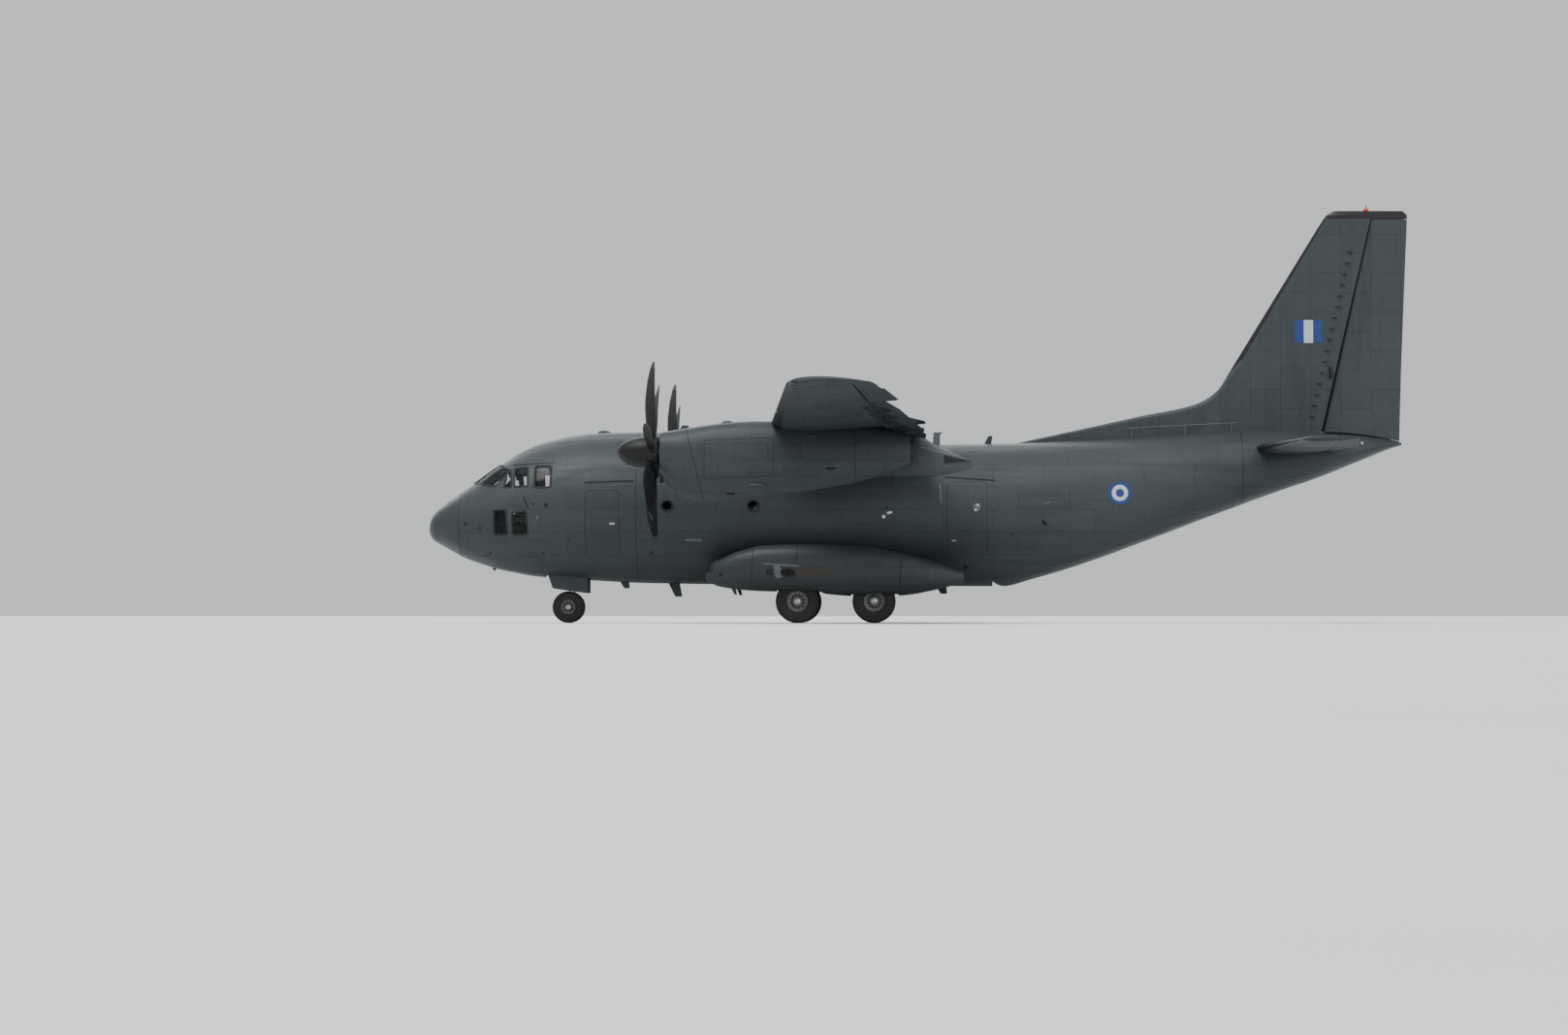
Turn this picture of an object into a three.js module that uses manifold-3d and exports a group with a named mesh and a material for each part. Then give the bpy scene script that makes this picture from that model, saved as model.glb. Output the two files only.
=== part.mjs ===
// A twin-engined military transport plane with a high wing, on its undercarriage with the flaps part lowered.
// Units are millimetres. Stations run aft from the nose tip, +Y is starboard and +Z is up from the nose datum.
import * as THREE from "three";
import { LoftGeometry } from "three/addons/geometries/LoftGeometry.js";
import { mergeVertices } from "three/addons/utils/BufferGeometryUtils.js";
import Module from "manifold-3d";

const wasm = await Module();
wasm.setup();

// Whole aircraft
const LENGTH = 22700;
const DATUM_HEIGHT = 2230; // nose datum above the ground
const GAP = 0.5; // between pieces that touch
const WALL = 90; // skin, frames and lining
const RING = 28; // points round a fuselage section

// Fuselage sections: station, top, widest height, bottom, half width, and how square the lower half is.
const FUSELAGE = [
  { x: 0, top: 40, mid: -90, bottom: -220, half: 150, square: 2 },
  { x: 80, top: 270, mid: -60, bottom: -290, half: 330, square: 2 },
  { x: 250, top: 450, mid: 0, bottom: -410, half: 520, square: 2 },
  { x: 500, top: 645, mid: 30, bottom: -545, half: 740, square: 2 },
  { x: 750, top: 800, mid: 60, bottom: -685, half: 900, square: 2 },
  { x: 1000, top: 975, mid: 90, bottom: -790, half: 1030, square: 2 },
  { x: 1240, top: 1140, mid: 120, bottom: -870, half: 1140, square: 2 },
  { x: 1480, top: 1330, mid: 150, bottom: -945, half: 1240, square: 2 },
  { x: 1740, top: 1490, mid: 190, bottom: -1015, half: 1330, square: 2 },
  { x: 1980, top: 1640, mid: 220, bottom: -1060, half: 1405, square: 2 },
  { x: 2230, top: 1790, mid: 250, bottom: -1110, half: 1470, square: 2 },
  { x: 2490, top: 1905, mid: 290, bottom: -1150, half: 1530, square: 2 },
  { x: 2760, top: 1985, mid: 320, bottom: -1175, half: 1585, square: 2 },
  { x: 3280, top: 2110, mid: 370, bottom: -1210, half: 1680, square: 2 },
  { x: 3900, top: 2180, mid: 410, bottom: -1250, half: 1745, square: 2 },
  { x: 4900, top: 2205, mid: 430, bottom: -1300, half: 1775, square: 2 },
  { x: 6500, top: 2205, mid: 430, bottom: -1330, half: 1775, square: 2 },
  { x: 8200, top: 2200, mid: 430, bottom: -1345, half: 1775, square: 2 },
  { x: 10200, top: 2080, mid: 430, bottom: -1360, half: 1775, square: 2 },
  { x: 11900, top: 1910, mid: 430, bottom: -1375, half: 1775, square: 2 },
  { x: 13330, top: 1930, mid: 420, bottom: -1380, half: 1770, square: 2.05 },
  { x: 14000, top: 1950, mid: 425, bottom: -1215, half: 1760, square: 2.3 },
  { x: 14700, top: 1980, mid: 440, bottom: -1015, half: 1730, square: 2.7 },
  { x: 15500, top: 2020, mid: 500, bottom: -750, half: 1665, square: 3.2 },
  { x: 16300, top: 2070, mid: 650, bottom: -455, half: 1575, square: 3.4 },
  { x: 17200, top: 2130, mid: 860, bottom: -115, half: 1445, square: 3.4 },
  { x: 18000, top: 2180, mid: 1060, bottom: 190, half: 1310, square: 3.4 },
  { x: 18800, top: 2220, mid: 1260, bottom: 490, half: 1160, square: 3.2 },
  { x: 19800, top: 2210, mid: 1470, bottom: 850, half: 950, square: 2.8 },
  { x: 20700, top: 2170, mid: 1620, bottom: 1160, half: 750, square: 2.5 },
  { x: 21400, top: 2130, mid: 1740, bottom: 1445, half: 560, square: 2.2 },
  { x: 21900, top: 2070, mid: 1820, bottom: 1645, half: 410, square: 2 },
  { x: 22300, top: 2000, mid: 1880, bottom: 1805, half: 250, square: 2 },
  { x: 22560, top: 1945, mid: 1915, bottom: 1885, half: 90, square: 2 },
];
const RADOME_END = 750;
const CABIN_START = 4900;
const CABIN_END = 11900;
const REAR_END = 18800;
const FRONT_BULKHEAD = 90;
const REAR_BULKHEAD = 100;

// Cockpit and cabin openings: outlines seen from the side as x, z, or from the front as y, z.
const SIDE_WINDOWS = [
  [[1835, 885], [2010, 890], [1990, 1265], [1885, 1215]],
  [[2080, 900], [2400, 910], [2380, 1360], [2060, 1330]],
  [[2560, 880], [2930, 880], [2940, 1370], [2560, 1385]],
  [[1620, -200], [1930, -200], [1890, 380], [1610, 360]],
  [[2050, -210], [2400, -200], [2370, 340], [2040, 300]],
];
const FRONT_WINDOWS = [
  [[45, 1010], [600, 985], [570, 1400], [45, 1440]],
  [[680, 960], [1030, 930], [930, 1290], [640, 1370]],
];
const PORTHOLES = [5620, 7590];
const PORTHOLE = { z: 450, r: 130 };
const GLASS = { from: 1150, to: 3060, bottom: 860, top: 1700, thick: 14 };

// Doors as boxes in the side view. Only the crew door is on one side alone.
const CREW_DOOR = { from: 3750, to: 4510, bottom: -700, top: 800 };
const PARA_DOOR = { from: 12020, to: 12930, bottom: -700, top: 1000 };
const DOOR_GAP = 8;

// Floors and flight deck
const CARGO_FLOOR = { from: 3660, to: 13330, top: -700, thick: 80, half: 1165 };
const DECK = { from: 880, to: 3520, top: -300, thick: 60 };
const PARTITION = { x: 3520, thick: 70, doorHalf: 330, doorTop: 1600 };
const SEAT = { x: 2150, y: 560, width: 480 };
const RACKS = { from: 880, to: 2560, half: 520 }; // equipment under the deck

// Cargo ramp and the door above it
const RAMP = { hingeX: 13360, hingeZ: -1040, nose: 335, half: 1220, toeX: 15750, toeTop: -470, slant: 100 };
const RAMP_OPEN_ANGLE = 40; // the belly edge is cut back this far under the hinge
const CARGO_DOOR = { hingeX: 18600, hingeZ: 570, frontX: 15770, frontTop: -485, halfFront: 1200, halfRear: 800 };
const CARGO_GAP = 10;

// Wing: span station, leading edge, trailing edge, chord plane height and thickness ratio
const WING = [
  { span: 0, le: 8100, te: 11500, z: 2210, thick: 0.15 },
  { span: 5000, le: 8100, te: 11500, z: 2210, thick: 0.15 },
  { span: 13950, le: 8646, te: 10399, z: 2600, thick: 0.12 },
  { span: 14230, le: 8740, te: 10330, z: 2612, thick: 0.1 },
  { span: 14350, le: 9000, te: 10210, z: 2618, thick: 0.05 },
];
const WING_JOINT = 5000;
const CAMBER = 0.02;
const CHORD_STEPS = 9;
const FLAP_NOSE = 0.745; // share of the chord ahead of flap and aileron
const COVE_GAP = 15;
const INNER_FLAP = { from: 1900, to: 4130 };
const OUTER_FLAP = { from: 5360, to: 10065, room: 35 }; // it slides outboard as it goes down
const AILERON = { from: 10150, to: 13900 };
const FLAP_DROP = 250; // hinge line below the flap's nose
const FLAP_REST = THREE.MathUtils.degToRad(18);

// Fairing over the wing roots: station, top and half width on a base of one height
const SADDLE = [
  { x: 7300, top: 2140, half: 1180 },
  { x: 7900, top: 2330, half: 1500 },
  { x: 8600, top: 2520, half: 1625 },
  { x: 10000, top: 2520, half: 1635 },
  { x: 10800, top: 2370, half: 1630 },
  { x: 11300, top: 2200, half: 1620 },
  { x: 11750, top: 1910, half: 1570 },
  { x: 12100, top: 1780, half: 1530 },
  { x: 12700, top: 1600, half: 1430 },
];
const SADDLE_BASE = 1150;
const SADDLE_SKIN = 60;
const SADDLE_SQUARE = 2.7;

// Nacelles, engines and propellers
const NACELLE_Y = 4750;
const NACELLE = [
  { x: 5620, top: 2000, mid: 1480, bottom: 1010, half: 430 },
  { x: 5780, top: 2025, mid: 1420, bottom: 850, half: 465 },
  { x: 6050, top: 2065, mid: 1380, bottom: 640, half: 500 },
  { x: 6420, top: 2125, mid: 1360, bottom: 470, half: 525 },
  { x: 7100, top: 2215, mid: 1350, bottom: 470, half: 540 },
  { x: 7700, top: 2250, mid: 1350, bottom: 530, half: 540 },
  { x: 8800, top: 2240, mid: 1370, bottom: 680, half: 520 },
  { x: 9830, top: 2190, mid: 1420, bottom: 850, half: 475 },
  { x: 10600, top: 2100, mid: 1520, bottom: 1070, half: 400 },
  { x: 11170, top: 1900, mid: 1590, bottom: 1300, half: 290 },
];
const NACELLE_SQUARE = 2.4;
const NACELLE_WALL = 45;
const NACELLE_RING = 20;
const SHAFT_HOLE = 130;
const INTAKE = { half: 300, bottom: 900, top: 1120 };
const HUB = { x: 5445, z: 1562 };
const ENGINE = { from: 5800, to: 8700, r: 395 };
const SPINNER = { tip: 4680, end: 5590, r: 345, wall: 14 };
const BLADES = 6;
const BLADE_PHASE = THREE.MathUtils.degToRad(14);
// Blade sections: radius, chord, thickness, sweep behind the blade's axis and pitch from the disc
const BLADE = [
  { r: 90, chord: 130, thick: 110, sweep: 0, pitch: 62 },
  { r: 380, chord: 190, thick: 75, sweep: -5, pitch: 58 },
  { r: 700, chord: 300, thick: 48, sweep: -30, pitch: 50 },
  { r: 1100, chord: 365, thick: 34, sweep: -45, pitch: 41 },
  { r: 1500, chord: 345, thick: 24, sweep: -15, pitch: 34 },
  { r: 1850, chord: 250, thick: 15, sweep: 70, pitch: 29 },
  { r: 2030, chord: 130, thick: 9, sweep: 145, pitch: 27 },
  { r: 2075, chord: 60, thick: 6, sweep: 180, pitch: 26 },
];

// Fin and rudder by height, tailplane and elevators by span: edges and thickness ratio
const FIN = [
  { span: 1900, le: 17549, te: 22507, z: 0, thick: 0.1 },
  { span: 3630, le: 18610, te: 22560, z: 0, thick: 0.1 },
  { span: 7050, le: 20708, te: 22700, z: 0, thick: 0.1 },
  { span: 7220, le: 20830, te: 22700, z: 0, thick: 0.08 },
  { span: 7320, le: 21000, te: 22600, z: 0, thick: 0.04 },
];
const RUDDER = { bottom: 1900, top: 7120, clear: 26, hingeLow: [20690, 2220], hingeHigh: [21840, 7130] };
const DORSAL = [
  { x: 13600, top: 1930, half: 40 },
  { x: 15170, top: 2270, half: 70 },
  { x: 16490, top: 2560, half: 95 },
  { x: 17810, top: 2850, half: 120 },
  { x: 18250, top: 3110, half: 140 },
  { x: 18620, top: 3600, half: 150 },
];
const TAILPLANE = [
  { span: 0, le: 19020, te: 21560, z: 1790, thick: 0.12 },
  { span: 6000, le: 19720, te: 20950, z: 1790, thick: 0.11 },
  { span: 6130, le: 19800, te: 20920, z: 1790, thick: 0.09 },
  { span: 6200, le: 19960, te: 20850, z: 1790, thick: 0.05 },
];
const ELEVATOR = { from: 790, to: 5900, nose: 0.66 };
const TAIL_SKIN = 40;

// Undercarriage
const GROUND = -DATUM_HEIGHT;
const MAIN_TYRE = { r: 495, width: 330, bead: 235 };
const NOSE_TYRE = { r: 368, width: 260, bead: 160 };
const MAIN_WHEELS = [8600, 10350];
const MAIN_TRACK = 1835; // half of the wheel track
const MAIN_LEG_Y = 1500;
const AXLE_R = 50;
const BORE_R = 58;
const WHEEL_SIDES = 24;
const NOSE_GEAR = { x: 3250, y: 200, legR: 85, pistonR: 55 };
const NOSE_BAY = { from: 2700, to: 3760, half: 395 };
const NOSE_DOOR = { y: 415, thick: 30, outline: [[2760, -1000], [3720, -1000], [3720, -1545], [2900, -1430]] };
// Pods beside the fuselage: station, top, bottom, inner and outer edge
const POD = [
  { x: 6500, top: -960, bottom: -1230, inner: 1330, outer: 1700 },
  { x: 6750, top: -810, bottom: -1380, inner: 1280, outer: 1980 },
  { x: 7250, top: -590, bottom: -1460, inner: 1255, outer: 2190 },
  { x: 7800, top: -460, bottom: -1490, inner: 1250, outer: 2280 },
  { x: 8700, top: -430, bottom: -1510, inner: 1250, outer: 2300 },
  { x: 9900, top: -450, bottom: -1600, inner: 1250, outer: 2300 },
  { x: 10900, top: -610, bottom: -1590, inner: 1250, outer: 2280 },
  { x: 11900, top: -880, bottom: -1430, inner: 1280, outer: 2130 },
  { x: 12400, top: -1080, bottom: -1290, inner: 1350, outer: 1950 },
];
const POD_SQUARE = 3;
const POD_RING = 20;
const WELL = { half: 565, inner: 1380, outer: 2070, top: -1130 };
const GEAR_BEAM = { half: 60, bottom: -1420, top: -1170 };

// Finishes
const finish = (color, roughness, metalness) =>
  new THREE.MeshStandardMaterial({ color, roughness, metalness });
const GREY_PAINT = finish(0x6e7c80, 0.55, 0.1);
const DARK_PAINT = finish(0x5d6a6e, 0.6, 0.1);
const BLACK_PAINT = finish(0x15171a, 0.45, 0.1);
const STEEL = finish(0x9aa0a4, 0.4, 0.7);
const RUBBER = finish(0x18181a, 0.9, 0);
const LINING = finish(0x8d958f, 0.8, 0);
const CLEAR = finish(0x27333a, 0.1, 0);
const IRON = finish(0x44484c, 0.6, 0.6);

// Solids and booleans

function solid(geometry) {
  const bare = new THREE.BufferGeometry();
  bare.setAttribute("position", geometry.attributes.position);
  bare.setIndex(geometry.index);
  const merged = mergeVertices(bare, 1e-3);
  return new wasm.Manifold(
    new wasm.Mesh({
      numProp: 3,
      vertProperties: merged.attributes.position.array,
      triVerts: new Uint32Array(merged.index.array),
    }),
  );
}

function geometryOf(body) {
  const mesh = body.getMesh();
  const geometry = new THREE.BufferGeometry();
  geometry.setAttribute("position", new THREE.BufferAttribute(mesh.vertProperties, 3));
  geometry.setIndex(new THREE.BufferAttribute(mesh.triVerts, 1));
  return geometry;
}

// The largest of the bodies that a cut leaves, without slivers.
function largest(body) {
  const bodies = body.decompose();
  return bodies.reduce((best, b) => (b.volume() > best.volume() ? b : best));
}

const joined = (first, ...rest) => rest.reduce((sum, b) => sum.add(b), first);
const cut = (first, ...rest) => rest.reduce((sum, b) => sum.subtract(b), first);

function loft(sections) {
  return solid(new LoftGeometry(sections, { closed: true, capStart: true, capEnd: true }));
}

function box(x0, x1, y0, y1, z0, z1) {
  const geometry = new THREE.BoxGeometry(x1 - x0, y1 - y0, z1 - z0);
  return solid(geometry.translate((x0 + x1) / 2, (y0 + y1) / 2, (z0 + z1) / 2));
}

function cylinder(from, to, r, sides = 20, rEnd = r) {
  const a = new THREE.Vector3(...from);
  const b = new THREE.Vector3(...to);
  const geometry = new THREE.CylinderGeometry(rEnd, r, a.distanceTo(b), sides);
  const along = b.clone().sub(a).normalize();
  const turn = new THREE.Quaternion().setFromUnitVectors(new THREE.Vector3(0, 1, 0), along);
  geometry.applyQuaternion(turn);
  const middle = a.add(b).multiplyScalar(0.5);
  return solid(geometry.translate(middle.x, middle.y, middle.z));
}

// An outline of x, z points carried from y0 to y1.
function sidePrism(points, y0, y1) {
  const shape = new THREE.Shape(points.map(([x, z]) => new THREE.Vector2(x, z)));
  const geometry = new THREE.ExtrudeGeometry(shape, { depth: y1 - y0, bevelEnabled: false, curveSegments: 1 });
  geometry.rotateX(Math.PI / 2);
  return solid(geometry.translate(0, y1, 0));
}

// An outline of y, z points carried from x0 to x1.
function frontPrism(points, x0, x1) {
  const shape = new THREE.Shape(points.map(([y, z]) => new THREE.Vector2(y, z)));
  const geometry = new THREE.ExtrudeGeometry(shape, { depth: x1 - x0, bevelEnabled: false, curveSegments: 1 });
  const turn = new THREE.Matrix4().makeBasis(
    new THREE.Vector3(0, 1, 0),
    new THREE.Vector3(0, 0, 1),
    new THREE.Vector3(1, 0, 0),
  );
  geometry.applyMatrix4(turn);
  return solid(geometry.translate(x0, 0, 0));
}

// An outline of x, y points carried from z0 to z1.
function planPrism(points, z0, z1) {
  const shape = new THREE.Shape(points.map(([x, y]) => new THREE.Vector2(x, y)));
  const geometry = new THREE.ExtrudeGeometry(shape, { depth: z1 - z0, bevelEnabled: false, curveSegments: 1 });
  return solid(geometry.translate(0, 0, z0));
}

// Signed power, which squares off an ellipse.
const signedPower = (value, power) => Math.sign(value) * Math.abs(value) ** power;

// Value of one column of a table at a place between its rows.
function between(rows, key, column, at) {
  let i = 0;
  while (i < rows.length - 2 && at > rows[i + 1][key]) i++;
  const share = (at - rows[i][key]) / (rows[i + 1][key] - rows[i][key]);
  return rows[i][column] + share * (rows[i + 1][column] - rows[i][column]);
}

// Fuselage

function fuselageRing(x, inset) {
  const at = (column) => between(FUSELAGE, "x", column, x);
  const mid = at("mid");
  const half = at("half") - inset;
  const points = [];
  for (let j = 0; j < RING; j++) {
    const angle = (2 * Math.PI * j) / RING;
    const upper = Math.sin(angle) >= -1e-9;
    const power = upper ? 1 : 2 / at("square");
    const height = upper ? at("top") - inset - mid : mid - at("bottom") - inset;
    const y = half * signedPower(Math.cos(angle), power);
    const z = mid + height * signedPower(Math.sin(angle), power);
    points.push(new THREE.Vector3(x, y, z));
  }
  return points;
}

function fuselageBody(from, to, inset = 0) {
  const inside = FUSELAGE.map((row) => row.x).filter((x) => x > from + 1 && x < to - 1);
  return loft([from, ...inside, to].map((x) => fuselageRing(x, inset)));
}

const hullCutter = fuselageBody(1, 22559, -GAP);
const hullInside = fuselageBody(RADOME_END + FRONT_BULKHEAD, REAR_END - REAR_BULKHEAD, WALL + 2);

const sideBox = (door, y0, y1, grow = 0) =>
  box(door.from - grow, door.to + grow, y0, y1, door.bottom - grow, door.top + grow);

// Arc points about the ramp's hinge, from one angle to another in degrees.
function rampArc(r, from, to, steps) {
  const points = [];
  for (let i = 0; i <= steps; i++) {
    const angle = THREE.MathUtils.degToRad(from + ((to - from) * i) / steps);
    points.push([RAMP.hingeX + r * Math.cos(angle), RAMP.hingeZ + r * Math.sin(angle)]);
  }
  return points;
}

const BELOW = -1700; // under every belly point

function rampSolid() {
  const outline = [
    ...rampArc(RAMP.nose, 270, 90, 12),
    [RAMP.toeX, RAMP.toeTop],
    [RAMP.toeX + RAMP.slant, RAMP.toeTop - 2 * RAMP.slant],
    [RAMP.toeX + RAMP.slant, BELOW],
    [RAMP.hingeX, BELOW],
  ];
  const slab = sidePrism(outline.reverse(), -RAMP.half, RAMP.half);
  return largest(fuselageBody(12500, 16500).intersect(slab));
}

function rampCutter() {
  const r = RAMP.nose + CARGO_GAP;
  const edge = 270 - RAMP_OPEN_ANGLE;
  const outline = [
    ...rampArc(r, edge, 90, 12),
    [RAMP.hingeX, 0],
    [RAMP.toeX + RAMP.slant, 0],
    [RAMP.toeX + RAMP.slant, BELOW],
    rampArc(r * 2.6, edge, edge, 1)[0],
  ];
  const half = RAMP.half + CARGO_GAP;
  return sidePrism(outline.reverse(), -half, half);
}

function cargoDoorPlan(grow) {
  const { hingeX, frontX, halfFront, halfRear } = CARGO_DOOR;
  return planPrism(
    [
      [frontX - 200, -halfFront - grow],
      [hingeX + grow, -halfRear - grow],
      [hingeX + grow, halfRear + grow],
      [frontX - 200, halfFront + grow],
    ],
    BELOW,
    2000,
  );
}

function cargoDoorSolid() {
  const { hingeX, hingeZ, frontX, frontTop } = CARGO_DOOR;
  const slab = sidePrism(
    [
      [frontX + RAMP.slant, frontTop - 2 * RAMP.slant],
      [frontX + RAMP.slant, BELOW],
      [hingeX, BELOW],
      [hingeX, hingeZ],
      [frontX, frontTop],
    ],
    -1500,
    1500,
  );
  return largest(fuselageBody(15000, 18700).intersect(slab).intersect(cargoDoorPlan(0)));
}

function cargoDoorCutter() {
  const { hingeX, hingeZ, frontX, frontTop } = CARGO_DOOR;
  const slab = sidePrism(
    [
      [frontX - CARGO_GAP, BELOW],
      [hingeX + CARGO_GAP, BELOW],
      [hingeX + CARGO_GAP, hingeZ + 100],
      [frontX - CARGO_GAP, frontTop + 450],
    ],
    -1500,
    1500,
  );
  return slab.intersect(cargoDoorPlan(CARGO_GAP));
}

// Wings, flaps and tail surfaces share one aerofoil. place() sets a point out along the span.
const acrossWing = (x, height, span, z) => new THREE.Vector3(x, span, z + height);
const upFin = (x, height, span) => new THREE.Vector3(x, -height, span);

// Half thickness at a share of the chord, as a share of the chord.
function halfThickness(s, thick) {
  const poly = 0.2969 * Math.sqrt(s) - 0.126 * s - 0.3516 * s ** 2 + 0.2843 * s ** 3 - 0.1036 * s ** 4;
  return Math.max(5 * thick * poly, 0.0012);
}

const camberAt = (s, camber) => 4 * camber * s * (1 - s);

// Upper and lower surface heights of a span row at a share of its chord.
function surfaceAt(row, s, camber, grow = 0) {
  const chord = row.te - row.le;
  const middle = chord * camberAt(s, camber);
  const half = s > 0 ? Math.max(chord * halfThickness(s, row.thick) + grow, 1) : 0;
  return { x: row.le + chord * s + grow * (2 * s - 1), upper: middle + half, lower: middle - half };
}

function rowAt(rows, span) {
  const at = (column) => between(rows, "span", column, span);
  return { span, le: at("le"), te: at("te"), z: at("z"), thick: at("thick") };
}

function aerofoilRing(row, place, camber, grow) {
  const ring = [];
  for (let k = 0; k <= CHORD_STEPS; k++) {
    const s = (1 - Math.cos((Math.PI * k) / CHORD_STEPS)) / 2;
    const p = surfaceAt(row, s, camber, grow);
    ring.push(place(p.x, p.upper, row.span, row.z));
  }
  for (let k = CHORD_STEPS; k >= 1; k--) {
    const s = (1 - Math.cos((Math.PI * k) / CHORD_STEPS)) / 2;
    const p = surfaceAt(row, s, camber, grow);
    ring.push(place(p.x, p.lower, row.span, row.z));
  }
  return ring;
}

function aerofoilBody(rows, from, to, place, camber, grow = 0) {
  const inside = rows.filter((row) => row.span > from + 1 && row.span < to - 1);
  const used = [rowAt(rows, from), ...inside, rowAt(rows, to)];
  return loft(used.map((row) => aerofoilRing(row, place, camber, grow)));
}

// A hinged trailing surface: round nose, then the aerofoil's own skin to its edge.
const NOSE_STEPS = 6;
const SKIN_STEPS = 4;

function noseOf(row, share, camber) {
  const chord = row.te - row.le;
  const start = row.le + chord * share + COVE_GAP;
  const radius = chord * halfThickness(share, row.thick);
  const s = share + (COVE_GAP + radius) / chord;
  const p = surfaceAt(row, s, camber);
  return { s, x: start + radius, radius, middle: (p.upper + p.lower) / 2, half: (p.upper - p.lower) / 2 };
}

function controlRing(row, share, place, camber) {
  const nose = noseOf(row, share, camber);
  const ring = [];
  for (let k = 0; k <= NOSE_STEPS / 2; k++) {
    const angle = Math.PI - (Math.PI * k) / NOSE_STEPS;
    const x = nose.x + nose.radius * Math.cos(angle);
    ring.push(place(x, nose.middle + nose.half * Math.sin(angle), row.span, row.z));
  }
  for (let k = 1; k <= SKIN_STEPS; k++) {
    const p = surfaceAt(row, nose.s + ((1 - nose.s) * k) / SKIN_STEPS, camber);
    ring.push(place(p.x, p.upper, row.span, row.z));
  }
  for (let k = SKIN_STEPS; k >= 0; k--) {
    const p = surfaceAt(row, nose.s + ((1 - nose.s) * k) / SKIN_STEPS, camber);
    ring.push(place(p.x, p.lower, row.span, row.z));
  }
  for (let k = 1; k < NOSE_STEPS / 2; k++) {
    const angle = -Math.PI / 2 - (Math.PI * k) / NOSE_STEPS;
    const x = nose.x + nose.radius * Math.cos(angle);
    ring.push(place(x, nose.middle + nose.half * Math.sin(angle), row.span, row.z));
  }
  return ring;
}

function controlBody(rows, from, to, share, place, camber) {
  return loft([rowAt(rows, from), rowAt(rows, to)].map((row) => controlRing(row, share, place, camber)));
}

// The space that a hinged surface needs in its wing, square to the span.
function controlCutter(rows, from, to, share, place, thick) {
  const side = 12;
  return loft(
    [rowAt(rows, from - side), rowAt(rows, to + side)].map((row) => {
      const front = row.le + (row.te - row.le) * share;
      const back = row.te + 60;
      return [
        place(front, thick, row.span, row.z),
        place(back, thick, row.span, row.z),
        place(back, -thick, row.span, row.z),
        place(front, -thick, row.span, row.z),
      ];
    }),
  );
}

// Two points of a hinge line through the noses of a surface, dropped below them for a flap.
function hingeLine(rows, from, to, share, place, camber, drop) {
  return [from, to].map((span) => {
    const row = rowAt(rows, span);
    const nose = noseOf(row, share, camber);
    return place(nose.x, nose.middle - drop, row.span, row.z);
  });
}

// Nacelle

function nacelleBody(inset, from = NACELLE[0].x, to = NACELLE.at(-1).x) {
  const inside = NACELLE.map((row) => row.x).filter((x) => x > from + 1 && x < to - 1);
  return loft(
    [from, ...inside, to].map((x) => {
      const at = (column) => between(NACELLE, "x", column, x);
      const ring = [];
      for (let j = 0; j < NACELLE_RING; j++) {
        const angle = (2 * Math.PI * j) / NACELLE_RING;
        const height = Math.sin(angle) > 0 ? at("top") - at("mid") : at("mid") - at("bottom");
        const power = 2 / NACELLE_SQUARE;
        ring.push(
          new THREE.Vector3(
            x,
            NACELLE_Y + (at("half") - inset) * signedPower(Math.cos(angle), power),
            at("mid") + (height - inset) * signedPower(Math.sin(angle), power),
          ),
        );
      }
      return ring;
    }),
  );
}

function nacelleShell(wings) {
  const front = NACELLE[0].x;
  const back = NACELLE.at(-1).x;
  const hollow = nacelleBody(NACELLE_WALL, front + NACELLE_WALL, back + 0.01);
  const hub = [HUB.x, NACELLE_Y, HUB.z];
  const shaftHole = cylinder(hub, [front + 200, NACELLE_Y, HUB.z], SHAFT_HOLE);
  const mouth = frontPrism(
    [
      [NACELLE_Y - INTAKE.half, INTAKE.top],
      [NACELLE_Y - INTAKE.half * 0.8, INTAKE.bottom + 60],
      [NACELLE_Y - INTAKE.half * 0.4, INTAKE.bottom],
      [NACELLE_Y + INTAKE.half * 0.4, INTAKE.bottom],
      [NACELLE_Y + INTAKE.half * 0.8, INTAKE.bottom + 60],
      [NACELLE_Y + INTAKE.half, INTAKE.top],
    ],
    front - 100,
    front + 260,
  );
  return largest(cut(nacelleBody(0), hollow, shaftHole, mouth, ...wings));
}

// Propeller

function bladeBody(angle) {
  const sections = BLADE.map((row) => {
    const pitch = THREE.MathUtils.degToRad(row.pitch);
    const ring = [];
    for (let k = 0; k < 8; k++) {
      const turn = (2 * Math.PI * k) / 8;
      const along = (row.chord / 2) * Math.cos(turn) + row.sweep;
      const off = (row.thick / 2) * Math.sin(turn);
      const x = along * Math.sin(pitch) + off * Math.cos(pitch);
      const y = off * Math.sin(pitch) - along * Math.cos(pitch);
      ring.push(new THREE.Vector3(x, y, row.r));
    }
    return ring;
  });
  const geometry = new LoftGeometry(sections, { closed: true, capStart: true, capEnd: true });
  geometry.rotateX(angle);
  return solid(geometry.translate(HUB.x, NACELLE_Y, HUB.z));
}

const bladeAngles = Array.from({ length: BLADES }, (_, i) => BLADE_PHASE + (2 * Math.PI * i) / BLADES);

function propellerBody() {
  const hub = cylinder([HUB.x - 150, NACELLE_Y, HUB.z], [HUB.x + 150, NACELLE_Y, HUB.z], 170, 24);
  const shaft = cylinder([HUB.x, NACELLE_Y, HUB.z], [ENGINE.from - GAP, NACELLE_Y, HUB.z], 90);
  return joined(hub, shaft, ...bladeAngles.map(bladeBody));
}

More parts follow.
